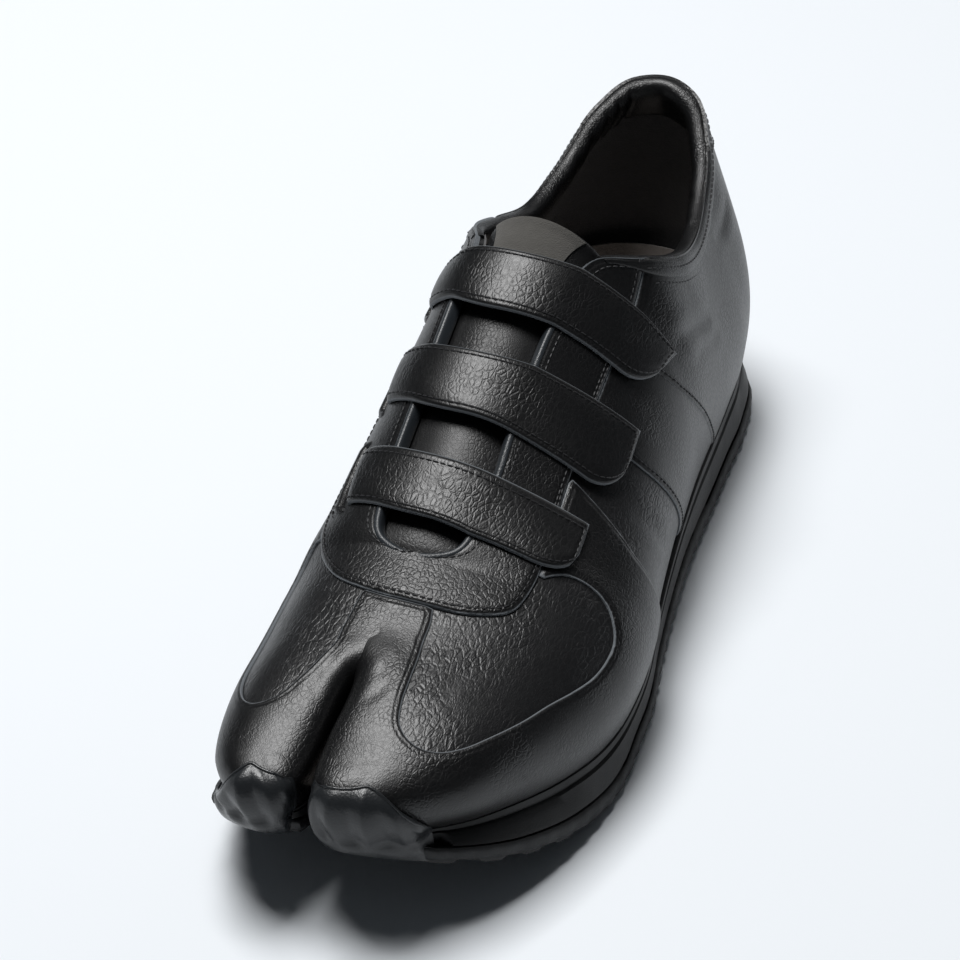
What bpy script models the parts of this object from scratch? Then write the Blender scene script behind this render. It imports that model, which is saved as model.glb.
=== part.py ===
"""Left tabi sneaker with three straps: a hollow upper with two toe pockets on a split sole.

The upper is a set of half sections. Each one starts on the feather edge, where the upper meets the sole,
and lands on the rim of the opening, on the ridge of the vamp or on the crown of a toe pocket.
Every overlay, the tongue and the straps are worked out from the same sections.

Frame: +X is lateral, -Y is the toe, +Z is up. The floor is at z = 0 under the middle of the shoe.
Tables are in millimetres.
"""
import math

import bmesh
import bpy
import numpy as np

MM = 0.001

# Driving sizes
LENGTH = 284.0
BALL_WIDTH = 104.0
COLLAR_HEIGHT = 105.0
WALL = 2.0
GAP = 0.3
PANEL = 1.3
INSOLE = 3.2
TONGUE = 3.5
STRAP = 2.4

# The tables below draw this last; the driving sizes scale it
LAST_LENGTH = 284.0
LAST_BALL_WIDTH = 104.0
LAST_COLLAR_HEIGHT = 105.0
SCALE_X = BALL_WIDTH / LAST_BALL_WIDTH
SCALE_Y = LENGTH / LAST_LENGTH
SCALE_Z = COLLAR_HEIGHT / LAST_COLLAR_HEIGHT
# Middle of the sole's plan in the tables; the finished shoe stands over it
MIDDLE = (1.439, 2.228)

# Rim of the opening, from the front of the throat up its lateral edge, round the heel and back: x, y, z
COLLAR = (
    (-10.0, -58.0, 65.0),
    (0.0, -54.5, 65.8),
    (3.0, -40.0, 70.5),
    (3.0, -11.0, 82.5),
    (4.0, 18.0, 94.5),
    (9.0, 41.0, 102.0),
    (20.5, 50.0, 99.5),
    (26.5, 64.0, 92.5),
    (26.5, 82.0, 86.5),
    (23.5, 102.0, 87.5),
    (18.0, 122.5, 96.0),
    (11.5, 133.0, 103.0),
    (2.0, 137.5, 105.0),
    (-7.0, 134.5, 104.5),
    (-14.0, 123.0, 100.0),
    (-20.0, 104.0, 92.0),
    (-24.5, 83.0, 88.5),
    (-28.0, 67.0, 92.0),
    (-29.5, 52.0, 98.0),
    (-25.5, 41.0, 101.5),
    (-25.0, 18.0, 94.0),
    (-25.0, -11.0, 82.0),
    (-24.0, -40.0, 70.0),
    (-20.5, -54.5, 65.8),
    (-10.0, -58.0, 65.0),
)
# Top line of the vamp from the throat to the fork of the toes, then the crown of each toe pocket: x, y, z
RIDGE = ((-10.0, -58.0, 65.0), (-10.2, -70.0, 62.2), (-10.8, -83.0, 58.6))
BIG = (
    (-10.8, -83.0, 58.6),
    (-20.0, -93.0, 56.2),
    (-24.5, -103.0, 53.2),
    (-27.5, -114.0, 49.8),
    (-29.0, -124.5, 46.4),
)
FOUR = (
    (-10.8, -83.0, 58.6),
    (-2.5, -93.0, 57.4),
    (1.0, -103.0, 55.2),
    (2.5, -114.0, 52.4),
    (3.0, -124.5, 48.8),
)
LINES = {"collar": COLLAR, "ridge": RIDGE, "big": BIG, "four": FOUR}

# One row a section, round the feather edge from the lateral side of the throat by way of the heel:
# line and knots it lands on from this row to the next, feather x and y, bulge of the side, rise as a share of
# the height, slope at the top in degrees, reach of the top as a share of the width, ledge of the sole
SECTIONS = (
    ("collar", 0, 1, 48.8, -57.0, 7.0, 0.60, 4.0, 0.56, 4.0),
    ("collar", 1, 2, 49.3, -47.0, 7.0, 0.58, 9.0, 0.53, 3.0),
    ("collar", 2, 3, 48.8, -34.0, 7.0, 0.53, 19.0, 0.49, 3.0),
    ("collar", 3, 4, 45.0, -9.0, 7.0, 0.47, 28.0, 0.46, 3.0),
    ("collar", 4, 5, 42.0, 16.0, 7.0, 0.42, 34.0, 0.44, 3.0),
    ("collar", 5, 6, 40.3, 36.0, 6.0, 0.38, 42.0, 0.44, 3.0),
    ("collar", 6, 7, 39.5, 50.0, 5.0, 0.36, 58.0, 0.40, 3.2),
    ("collar", 7, 8, 39.0, 66.0, 5.0, 0.36, 72.0, 0.36, 3.4),
    ("collar", 8, 9, 38.3, 84.0, 6.0, 0.36, 74.0, 0.34, 3.6),
    ("collar", 9, 10, 36.8, 103.0, 7.0, 0.36, 72.0, 0.34, 4.6),
    ("collar", 10, 11, 30.5, 123.5, 9.0, 0.38, 74.0, 0.34, 6.4),
    ("collar", 11, 12, 18.5, 134.5, 10.0, 0.38, 78.0, 0.34, 6.0),
    ("collar", 12, 13, 1.5, 138.0, 10.0, 0.38, 82.0, 0.34, 4.6),
    ("collar", 13, 14, -15.5, 134.0, 9.0, 0.38, 78.0, 0.34, 4.0),
    ("collar", 14, 15, -28.0, 121.5, 8.0, 0.38, 74.0, 0.34, 3.8),
    ("collar", 15, 16, -32.5, 102.0, 6.0, 0.36, 72.0, 0.34, 3.4),
    ("collar", 16, 17, -32.0, 82.0, 5.0, 0.36, 74.0, 0.34, 3.0),
    ("collar", 17, 18, -31.0, 64.0, 5.0, 0.36, 72.0, 0.36, 3.0),
    ("collar", 18, 19, -30.5, 50.0, 6.0, 0.38, 62.0, 0.40, 3.0),
    ("collar", 19, 20, -30.3, 36.0, 8.0, 0.42, 50.0, 0.44, 3.0),
    ("collar", 20, 21, -31.3, 17.0, 10.0, 0.46, 40.0, 0.46, 3.0),
    ("collar", 21, 22, -36.0, -9.0, 11.0, 0.50, 30.0, 0.48, 3.0),
    ("collar", 22, 23, -42.5, -36.0, 9.0, 0.56, 19.0, 0.51, 3.0),
    ("collar", 23, 24, -45.2, -49.0, 7.0, 0.60, 9.0, 0.54, 3.0),
    ("ridge", 0, 1, -46.2, -58.5, 7.0, 0.62, 4.0, 0.56, 3.0),
    ("ridge", 1, 2, -46.8, -71.0, 6.0, 0.64, 1.0, 0.56, 3.0),
    ("big", 0, 1, -46.9, -84.0, 5.0, 0.66, 0.0, 0.56, 3.0),
    ("big", 1, 2, -46.2, -95.0, 5.0, 0.66, 0.0, 0.56, 3.0),
    ("big", 2, 3, -44.8, -105.0, 5.0, 0.66, 0.0, 0.54, 3.2),
    ("big", 3, 4, -42.6, -115.0, 5.0, 0.66, 0.0, 0.52, 3.6),
    ("big", 4, 4, -39.8, -123.0, 5.0, 0.66, 0.0, 0.50, 4.2),
    ("big", 4, 4, -35.8, -129.4, 4.0, 0.74, 0.0, 0.52, 5.0),
    ("big", 4, 4, -30.3, -133.0, 4.0, 0.76, 0.0, 0.54, 5.0),
    ("big", 4, 4, -24.0, -133.6, 3.0, 0.78, 0.0, 0.58, 5.0),
    ("big", 4, 4, -19.2, -131.2, 1.5, 0.82, 0.0, 0.62, 3.0),
    ("big", 4, 3, -17.4, -124.5, 0.0, 0.86, 0.0, 0.68, 1.4),
    ("big", 3, 2, -17.0, -115.5, 0.0, 0.92, 0.0, 0.74, 1.4),
    ("big", 2, 1, -16.7, -106.5, 0.0, 0.94, 0.0, 0.76, 1.4),
    ("big", 1, 0, -16.4, -99.5, 0.0, 0.94, 0.0, 0.76, 1.4),
    ("big", 0, 0, -15.8, -95.0, 0.0, 0.92, 0.0, 0.70, 1.4),
    ("four", 0, 0, -13.5, -93.2, 0.0, 0.90, 0.0, 0.66, 1.4),
    ("four", 0, 1, -11.2, -95.0, 0.0, 0.92, 0.0, 0.70, 1.4),
    ("four", 1, 2, -10.6, -99.5, 0.0, 0.94, 0.0, 0.76, 1.4),
    ("four", 2, 3, -10.5, -106.5, 0.0, 0.94, 0.0, 0.76, 1.4),
    ("four", 3, 4, -10.6, -115.5, 0.0, 0.92, 0.0, 0.74, 1.4),
    ("four", 4, 4, -10.6, -124.5, 0.0, 0.86, 0.0, 0.68, 1.4),
    ("four", 4, 4, -9.2, -131.2, 1.5, 0.82, 0.0, 0.62, 3.0),
    ("four", 4, 4, -4.0, -133.6, 3.0, 0.78, 0.0, 0.58, 5.0),
    ("four", 4, 4, 3.5, -132.6, 4.0, 0.76, 0.0, 0.54, 5.0),
    ("four", 4, 4, 11.5, -128.2, 4.5, 0.72, 0.0, 0.52, 5.0),
    ("four", 4, 4, 19.0, -121.5, 6.0, 0.66, 0.0, 0.52, 4.4),
    ("four", 4, 3, 25.5, -114.0, 6.5, 0.66, 0.0, 0.54, 4.4),
    ("four", 3, 2, 31.3, -105.0, 7.0, 0.66, 0.0, 0.55, 5.0),
    ("four", 2, 1, 36.7, -95.0, 7.0, 0.66, 0.0, 0.56, 5.8),
    ("four", 1, 0, 41.5, -84.5, 7.0, 0.64, 0.0, 0.56, 6.0),
    ("ridge", 2, 1, 44.8, -75.5, 7.0, 0.62, 0.0, 0.56, 5.8),
    ("ridge", 1, 0, 47.2, -66.5, 7.0, 0.60, 1.0, 0.56, 5.0),
)

# The top of each section leans in from the feather edge by this much
LEAN = 10.0

# Side view of the sole: y, ground line, top of the outsole, feather edge
SOLE = (
    (146.0, 4.0, 9.5, 26.0),
    (126.0, 0.0, 7.0, 25.5),
    (58.0, 0.0, 7.0, 24.5),
    (28.0, 1.6, 8.2, 22.3),
    (2.0, 1.2, 7.6, 20.5),
    (-22.0, 0.0, 6.5, 19.2),
    (-62.0, 0.0, 6.5, 19.2),
    (-85.0, 4.0, 10.5, 22.2),
    (-105.0, 11.0, 17.2, 26.8),
    (-122.0, 19.5, 25.2, 31.2),
    (-142.0, 31.0, 35.5, 38.0),
)

SOLE_STEPS = 30

# Cross lugs of the outsole
LUG_PITCH = 11.5
LUG_LAND = 5.5
LUG_FLANK = 1.6
LUG_DEPTH = 2.6
LUG_CENTRE = 92.0
MIDSOLE_LEDGE = 1.5
MIDSOLE_LEDGE_SLIT = 1.4
OUTSOLE_STEP = 1.2

# Bumper that wraps up over each toe: place round the feather edge, top of the bumper as a share of the section
BUMPER_CLEAR = 2.0
BUMPER_THICK = 2.4
BUMPER_WAVE = 0.9
BUMPER_RUN_OUT = 0.9
BUMPER_ROOT = 2.0
BUMPER_STEPS = 14
BUMPER_SHARES = (0.0, 0.25, 0.5, 0.75, 1.0)
# Slant of the waves: turn from one step to the next round the toe and up the face, thinning of the rim
BUMPER_TURN = 1.4
BUMPER_SLANT = 1.1
BUMPER_THIN = 0.45
BUMPER_BIG = ((29.9, 0.06), (30.6, 0.34), (31.4, 0.58), (32.2, 0.66), (33.0, 0.62), (33.9, 0.50))
BUMPER_FOUR = ((46.1, 0.50), (46.8, 0.56), (47.6, 0.52), (48.3, 0.42), (49.0, 0.24), (49.6, 0.06))

# Outline of the facing in plan, from its lateral top corner round the front of the throat: x, y
FACING = (
    (21.0, 55.0),
    (21.0, 40.0),
    (20.5, 0.0),
    (21.5, -35.0),
    (22.6, -55.0),
    (20.0, -65.5),
    (11.0, -71.2),
    (-4.0, -73.0),
    (-18.0, -72.0),
    (-29.0, -67.5),
    (-36.5, -58.5),
    (-41.0, -46.0),
    (-41.5, -30.0),
    (-39.5, -10.0),
    (-38.0, 15.0),
    (-36.0, 33.0),
    (-33.5, 49.0),
)
# The facing stops at a plane that climbs towards the ankle: height under the middle of the shoe, climb
FACING_LOW = 65.8
FACING_CLIMB = 0.42
# Windows of the vamp on the upper's own sections: place round the feather edge, share of the section
WINDOW_LATERAL = (
    (55.6, 0.90), (54.5, 0.92), (53.0, 0.95), (52.2, 0.93), (51.75, 0.83), (51.7, 0.73), (52.0, 0.63), (53.2, 0.52),
    (54.3, 0.45), (55.5, 0.40), (56.4, 0.37), (57.3, 0.39), (58.0, 0.45), (58.5, 0.56), (58.5, 0.68), (56.9, 0.80),
)
WINDOW_MEDIAL = (
    (25.3, 0.88), (26.0, 0.88), (27.0, 0.93), (28.0, 0.95), (28.5, 0.92), (28.75, 0.80), (28.65, 0.65), (28.2, 0.52),
    (27.4, 0.42), (26.4, 0.36), (25.2, 0.34), (24.2, 0.36), (23.4, 0.42), (22.9, 0.52), (23.2, 0.64), (24.2, 0.76),
)
# The overlays leave out the tight fork between the toes, where its walls meet: low and high corner in plan
FORK = ((-15.2, -95.2), (-8.6, -82.0))
# Seams of the quarters in the side view: y and z at the top and at the feather edge
SEAM_GUARD = ((-17.0, 70.0), (-22.0, 50.0), (-19.0, 10.0))
SEAM_QUARTER = ((-4.0, 80.0), (4.0, 60.0), (14.0, 41.0), (30.0, 10.0))
SEAM_COUNTER = ((16.0, 98.0), (38.0, 63.5), (51.5, 46.0), (76.0, 10.0))
SEAM_TAB = ((113.0, 97.0), (124.0, 89.5), (160.0, 84.0))

# Straps over the throat: edge nearest the toe and edge nearest the ankle as shares of the throat's length,
# bow of both towards their ends, skew, medial and lateral end as shares of the way across
STRAPS = {
    "strap_top": (0.715, 0.888, 0.27, 0.00, -0.66, 0.80),
    "strap_mid": (0.450, 0.602, 0.13, -0.01, -0.68, 0.81),
    "strap_low": (0.135, 0.337, 0.03, -0.03, -0.67, 0.73),
}
# Share of the strap's length in its tip, share of its width in the round corner, steps along, round and across
STRAP_TIP = 0.10
STRAP_ROUND = 0.62
STRAP_STEPS = 12
STRAP_TIP_STEPS = 4
STRAP_LINES = 3
STRAP_CLEAR = 0.45
# The bridge over the throat takes up this share of the way across on each side of the middle
BRIDGE = 0.4
THROAT_LATERAL = (1.0, 5.0)
THROAT_MEDIAL = (23.0, 19.0)
BRIDGE_REACH = 0.36
# Rows of the tongue up the throat, its half width, and the free top that stands out
TONGUE_ROWS = (-0.14, -0.05, 0.1, 0.25, 0.4, 0.55, 0.7, 0.82, 0.92, 1.0, 1.07)
TONGUE_HALF = 0.60
TONGUE_CLEAR = 0.9
TONGUE_STEPS = 14
TONGUE_FREE = 0.90
TONGUE_STAND = 5.0

# Modelled sections to a row round the opening and round the toes, and steps up each section
SUBDIVIDE_REAR = 2
SUBDIVIDE_FRONT = 1
SUBDIVIDE_HEIGHT = 7
# The overlays stop this share of the lowest step short of the feather edge
PANEL_HEM = 0.25
# Cutting forms reach past the shoe on every side
FAR = 80.0
DEEP = -20.0
TALL = 130.0
AHEAD = -200.0
BEHIND = 160.0
UNDER = 10.0
# Rings of a window's form from its edge to its middle, and its floor and roof over the upper
WINDOW_RINGS = (1.0, 0.7, 0.4, 0.12)
WINDOW_FLOOR = -1.0
WINDOW_ROOF = 4.0

# Finish of each sub-part: colour, roughness
LEATHER = ((0.012, 0.012, 0.013), 0.45)
RUBBER = ((0.020, 0.020, 0.021), 0.70)
FOAM = ((0.015, 0.015, 0.016), 0.80)
LINING = ((0.075, 0.066, 0.060), 0.90)


def hermite(p0, p1, m0, m1, s):
    """Cubic between two values with given slopes."""
    s2 = s * s
    s3 = s2 * s
    return (2 * s3 - 3 * s2 + 1) * p0 + (s3 - 2 * s2 + s) * m0 + (3 * s2 - 2 * s3) * p1 + (s3 - s2) * m1


def slopes(points, spans, closed):
    """Slope at each point from its two neighbours, weighted by the length of the spans."""
    n = len(points)
    out = np.zeros_like(points)
    for i in range(n):
        if closed or 0 < i < n - 1:
            before = (points[i] - points[i - 1]) / spans[i - 1]
            after = (points[(i + 1) % n] - points[i]) / spans[i]
            out[i] = (before * spans[i] + after * spans[i - 1]) / (spans[i - 1] + spans[i])
        elif i == 0:
            out[i] = (points[1] - points[0]) / spans[0]
        else:
            out[i] = (points[i] - points[i - 1]) / spans[i - 1]
    return out


class Line:
    """Smooth curve through knots; a closed one repeats its first knot at the end."""

    def __init__(self, knots):
        pts = np.array(knots, float) * (SCALE_X, SCALE_Y, SCALE_Z)
        self.pts = pts
        closed = bool(np.allclose(pts[0], pts[-1]))
        self.spans = np.linalg.norm(np.diff(pts, axis=0), axis=1)
        if closed:
            self.m = slopes(pts[:-1], self.spans, True)
            self.m = np.vstack([self.m, self.m[:1]])
        else:
            self.m = slopes(pts, self.spans, False)

    def at(self, k):
        i = min(int(k), len(self.spans) - 1)
        d = self.spans[i]
        return hermite(self.pts[i], self.pts[i + 1], self.m[i] * d, self.m[i + 1] * d, k - i)


LINE = {name: Line(knots) for name, knots in LINES.items()}
ROWS = np.array([row[3:] for row in SECTIONS], float)
ROWS[:, 0] *= SCALE_X
ROWS[:, 1] *= SCALE_Y
ROW_COUNT = len(SECTIONS)
ROW_SPANS = np.linalg.norm(np.roll(ROWS[:, :2], -1, axis=0) - ROWS[:, :2], axis=1)
ROW_SLOPES = slopes(ROWS, ROW_SPANS, True)
SOLE_ROWS = np.array(SOLE, float)[::-1]


def row_at(g):
    """All columns of the section table at place g round the feather edge; row i is at g = i."""
    i = int(math.floor(g)) % ROW_COUNT
    j = (i + 1) % ROW_COUNT
    d = ROW_SPANS[i]
    return hermite(ROWS[i], ROWS[j], ROW_SLOPES[i] * d, ROW_SLOPES[j] * d, g - math.floor(g))


def landing(g):
    """Point of the rim, ridge or crown that the section at g lands on."""
    i = int(math.floor(g)) % ROW_COUNT
    name, start, end = SECTIONS[i][:3]
    return LINE[name].at(start + (end - start) * (g - math.floor(g)))


def outward(g):
    """Plan direction out of the feather edge at g."""
    step = 0.02
    t = row_at(g + step)[:2] - row_at(g - step)[:2]
    return np.array((t[1], -t[0])) / np.linalg.norm(t)


def sole_height(y, column):
    """Height in the side view of the sole: column 1 ground line, 2 top of outsole, 3 feather edge."""
    ys = SOLE_ROWS[:, 0] * SCALE_Y
    zs = SOLE_ROWS[:, column]
    y = min(max(y, ys[0]), ys[-1])
    i = min(int(np.searchsorted(ys, y, side="right")) - 1, len(ys) - 2)
    rate = np.diff(zs) / np.diff(ys)
    m = [0.0] * len(ys)
    for k in range(1, len(ys) - 1):
        if rate[k - 1] * rate[k] > 0:
            m[k] = 2 * rate[k - 1] * rate[k] / (rate[k - 1] + rate[k])
    m[0] = rate[0]
    m[-1] = rate[-1]
    d = ys[i + 1] - ys[i]
    return hermite(zs[i], zs[i + 1], m[i] * d, m[i + 1] * d, (y - ys[i]) / d)


def feather(g, margin=0.0):
    """Point of the feather edge at g, moved out by margin."""
    x, y = row_at(g)[:2] + outward(g) * margin
    return np.array((x, y, sole_height(y, 3)))


def section(g):
    """The four control points of the half section at g."""
    x, y, bulge, rise, slope, reach = row_at(g)[:6]
    out = outward(g)
    foot = np.array((x, y, sole_height(y, 3)))
    top = landing(g)
    low = foot + np.array((out[0] * bulge, out[1] * bulge, (top[2] - foot[2]) * rise))
    inward = (top - foot)[:2] - out * LEAN
    inward /= np.linalg.norm(inward)
    angle = math.radians(slope)
    run = np.array((inward[0] * math.cos(angle), inward[1] * math.cos(angle), math.sin(angle)))
    high = top - run * reach * np.linalg.norm(top - low)
    return foot, low, high, top


def bezier(points, v):
    """Point on a cubic with four control points."""
    a, b, c, d = points
    w = 1.0 - v
    return a * w ** 3 + b * 3 * w * w * v + c * 3 * w * v * v + d * v ** 3


def stations():
    """Places of the modelled sections round the feather edge."""
    places = []
    for i, row in enumerate(SECTIONS):
        steps = SUBDIVIDE_REAR if row[0] == "collar" else SUBDIVIDE_FRONT
        places += [i + k / steps for k in range(steps)]
    return places


def collection(name):
    """Collection for the parts or for the cutters."""
    made = bpy.data.collections.new(name)
    bpy.context.scene.collection.children.link(made)
    return made


def material(name, colour, roughness):
    """Plain finish of one sub-part."""
    made = bpy.data.materials.new(name + "_finish")
    made.use_nodes = True
    shader = made.node_tree.nodes["Principled BSDF"]
    shader.inputs["Base Color"].default_value = (*colour, 1.0)
    shader.inputs["Roughness"].default_value = roughness
    shader.inputs["Metallic"].default_value = 0.0
    return made


def add_object(name, bm, group, finish=None):
    """Object from a finished mesh, moved over the middle of the sole's plan."""
    bmesh.ops.translate(bm, verts=bm.verts, vec=(-MIDDLE[0] * MM, -MIDDLE[1] * MM, 0.0))
    mesh = bpy.data.meshes.new(name)
    bm.to_mesh(mesh)
    bm.free()
    made = bpy.data.objects.new(name, mesh)
    group.objects.link(made)
    if finish:
        mesh.materials.append(material(name, *finish))
    return made


def upper_surface(lift=0.0, hem=0.0):
    """Open surface of the upper, lifted along its normals, with its lower edge raised by a hem."""
    bm = bmesh.new()
    heights = [k / SUBDIVIDE_HEIGHT for k in range(SUBDIVIDE_HEIGHT + 1)]
    rings = []
    for g in stations():
        points = section(g)
        rings.append([bm.verts.new(bezier(points, v) * MM) for v in heights])
    for i, ring in enumerate(rings):
        after = rings[(i + 1) % len(rings)]
        for k in range(SUBDIVIDE_HEIGHT):
            bm.faces.new((ring[k], after[k], after[k + 1], ring[k + 1]))
    bmesh.ops.remove_doubles(bm, verts=bm.verts, dist=0.00001)
    bmesh.ops.triangulate(bm, faces=bm.faces, quad_method="SHORT_EDGE")
    bm.normal_update()
    if lift:
        moves = [(v, v.normal * lift * MM) for v in bm.verts]
        for v, move in moves:
            v.co += move
    if hem:
        for ring in rings:
            ring[0].co = ring[0].co.lerp(ring[1].co, hem)
    return bm


def solidify(made, thickness, side):
    """Wall of a shell; side -1 grows inwards, 1 outwards."""
    mod = made.modifiers.new("wall", "SOLIDIFY")
    mod.thickness = thickness * MM
    mod.offset = side
    return mod


def boolean(made, cutter, operation):
    """Cut with, or keep what is inside, another form."""
    mod = made.modifiers.new(cutter.name, "BOOLEAN")
    mod.operation = operation
    mod.object = cutter
    mod.solver = "EXACT"
    return mod


def prism(name, group, shape, axis, low, high, finish=None):
    """Closed form: a flat outline pushed along X or Z from low to high."""
    bm = bmesh.new()
    if axis == "z":
        verts = [bm.verts.new((x * MM, y * MM, low * MM)) for x, y in shape]
        push = (0.0, 0.0, (high - low) * MM)
    else:
        verts = [bm.verts.new((low * MM, y * MM, z * MM)) for y, z in shape]
        push = ((high - low) * MM, 0.0, 0.0)
    face = bm.faces.new(verts)
    grown = bmesh.ops.extrude_face_region(bm, geom=[face])["geom"]
    bmesh.ops.translate(bm, verts=[v for v in grown if isinstance(v, bmesh.types.BMVert)], vec=push)
    bmesh.ops.recalc_face_normals(bm, faces=bm.faces)
    return add_object(name, bm, group, finish)


def surface_point(g, v):
    """Point of the upper and its outward normal."""
    step = 0.01
    along = bezier(section(g + step), v) - bezier(section(g - step), v)
    points = section(g)
    up = bezier(points, min(v + step, 1.0)) - bezier(points, max(v - step, 0.0))
    normal = np.cross(along, up)
    return bezier(points, v), normal / np.linalg.norm(normal)


def closed_grid(name, group, outer, inner, finish=None):
    """Closed form between two sheets of points that share their layout."""
    bm = bmesh.new()
    rows, columns = outer.shape[:2]
    top = [[bm.verts.new(p * MM) for p in row] for row in outer]
    low = [[bm.verts.new(p * MM) for p in row] for row in inner]
    for i in range(rows - 1):
        for k in range(columns - 1):
            bm.faces.new((top[i][k], top[i + 1][k], top[i + 1][k + 1], top[i][k + 1]))
            bm.faces.new((low[i][k], low[i][k + 1], low[i + 1][k + 1], low[i + 1][k]))
    for i in range(rows - 1):
        bm.faces.new((low[i][0], low[i + 1][0], top[i + 1][0], top[i][0]))
        bm.faces.new((top[i][-1], top[i + 1][-1], low[i + 1][-1], low[i][-1]))
    for k in range(columns - 1):
        bm.faces.new((top[0][k], top[0][k + 1], low[0][k + 1], low[0][k]))
        bm.faces.new((low[-1][k], low[-1][k + 1], top[-1][k + 1], top[-1][k]))
    bmesh.ops.remove_doubles(bm, verts=bm.verts, dist=0.00001)
    bmesh.ops.recalc_face_normals(bm, faces=bm.faces)
    return add_object(name, bm, group, finish)


def cutter(made):
    """Keep a form out of the finished shoe."""
    made.hide_render = True
    made.display_type = "WIRE"
    return made


def window_cutter(name, group, knots):
    """Form through the overlays over a window: rings from its outline to its middle on the upper's surface."""
    ring = smooth_loop(knots, 2)
    centre = ring.mean(axis=0)
    sheets = {}
    for lift in (WINDOW_FLOOR, WINDOW_ROOF):
        sheet = []
        for share in WINDOW_RINGS:
            loop = []
            for g, v in centre + (ring - centre) * share:
                point, normal = surface_point(g, v)
                loop.append(point + normal * lift)
            sheet.append(loop)
        sheets[lift] = sheet
    bm = bmesh.new()
    stacked = sheets[WINDOW_FLOOR][::-1] + sheets[WINDOW_ROOF]
    return tower(name, group, bm, [[bm.verts.new(p * MM) for p in loop] for loop in stacked])


def tower(name, group, bm, loops):
    """Cutting form of stacked loops with a face on each end."""
    for loop, after in zip(loops, loops[1:]):
        for i in range(len(loop)):
            j = (i + 1) % len(loop)
            bm.faces.new((loop[i], loop[j], after[j], after[i]))
    bm.faces.new(loops[0][::-1])
    bm.faces.new(loops[-1])
    bmesh.ops.recalc_face_normals(bm, faces=bm.faces)
    return cutter(add_object(name, bm, group))


def smooth_loop(knots, steps):
    """Closed smooth loop through knots in a plane."""
    pts = np.array(knots, float)
    spans = np.linalg.norm(np.roll(pts, -1, axis=0) - pts, axis=1)
    m = slopes(pts, spans, True)
    out = []
    for i in range(len(pts)):
        j = (i + 1) % len(pts)
        for k in range(steps):
            out.append(hermite(pts[i], pts[j], m[i] * spans[i], m[j] * spans[i], k / steps))
    return np.array(out)


def ledge(g):
    """How far the outsole stands out from the feather edge."""
    return row_at(g)[6]


def midsole_foot(g):
    """How far the foot of the midsole stands out; behind a bumper it stays upright."""
    for knots in (BUMPER_BIG, BUMPER_FOUR):
        if knots[0][0] - BUMPER_RUN_OUT <= g <= knots[-1][0] + BUMPER_RUN_OUT:
            return MIDSOLE_LEDGE
    return max(ledge(g) - OUTSOLE_STEP, MIDSOLE_LEDGE_SLIT)


def midsole_top(g):
    """How far the top of the midsole stands out."""
    return min(ledge(g), MIDSOLE_LEDGE)


def outline(margin):
    """Plan of the feather edge moved out by a margin that depends on the place."""
    return [feather(g, margin(g))[:2] for g in stations()]


def flared_plan(name, group, low_margin, high_margin):
    """Upright form over the sole's plan that leans in from the outsole to the feather edge."""
    bm = bmesh.new()
    loops = []
    levels = ((low_margin, 2, DEEP), (low_margin, 2, None), (high_margin, 3, None), (high_margin, 3, TALL))
    for margin, column, fixed in levels:
        loop = []
        for g in stations():
            x, y, _ = feather(g, margin(g))
            z = sole_height(y, column) if fixed is None else fixed
            loop.append(bm.verts.new((x * MM, y * MM, z * MM)))
        loops.append(loop)
    return tower(name, group, bm, loops)


def sole_profile(column_low, lift_low, column_high, lift_high):
    """Side view of a layer of the sole between two of its lines."""
    ys = np.linspace(SOLE[0][0], SOLE[-1][0], SOLE_STEPS) * SCALE_Y
    top = [(y, sole_height(y, column_high) + lift_high) for y in ys]
    low = [(y, sole_height(y, column_low) + lift_low) for y in ys[::-1]]
    return top + low


def lug_profile():
    """Side view of the outsole, with flat lands and grooves along the ground line."""
    ys = np.linspace(SOLE[0][0], SOLE[-1][0], SOLE_STEPS) * SCALE_Y
    top = [(y, sole_height(y, 2)) for y in ys]
    low = []
    first = math.ceil((SOLE[-1][0] - LUG_CENTRE) / LUG_PITCH)
    last = math.floor((SOLE[0][0] - LUG_CENTRE) / LUG_PITCH)
    for k in range(first, last + 1):
        y = LUG_CENTRE + k * LUG_PITCH
        for offset, depth in ((-LUG_LAND / 2 - LUG_FLANK, LUG_DEPTH), (-LUG_LAND / 2, 0.0),
                              (LUG_LAND / 2, 0.0), (LUG_LAND / 2 + LUG_FLANK, LUG_DEPTH)):
            low.append((y + offset, sole_height(y + offset, 1) + depth))
    low = [p for p in low if ys[-1] < p[0] < ys[0]]
    return top + low


def bumper(name, group, knots):
    """Rubber bumper from the outsole up over a toe, with slanting waves on its face."""
    knots = np.array(knots)
    outer = []
    inner = []
    for i, g in enumerate(np.linspace(knots[0, 0], knots[-1, 0], BUMPER_STEPS + 1)):
        top = np.interp(g, knots[:, 0], knots[:, 1])
        out = np.append(outward(g), 0.0)
        root = feather(g) + out * BUMPER_CLEAR
        root[2] = sole_height(root[1], 2) - BUMPER_ROOT
        row_out = [root + out * BUMPER_THICK]
        row_in = [root]
        for k, share in enumerate(BUMPER_SHARES):
            point, normal = surface_point(g, top * share)
            wave = BUMPER_WAVE * math.sin(i * BUMPER_TURN + k * BUMPER_SLANT) * (share < 1.0)
            thick = (BUMPER_THICK + wave) * (1.0 - BUMPER_THIN * share ** 3)
            row_in.append(point + normal * BUMPER_CLEAR)
            row_out.append(point + normal * (BUMPER_CLEAR + thick))
        outer.append(row_out)
        inner.append(row_in)
    return cutter(closed_grid(name, group, np.array(outer), np.array(inner)))


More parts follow.
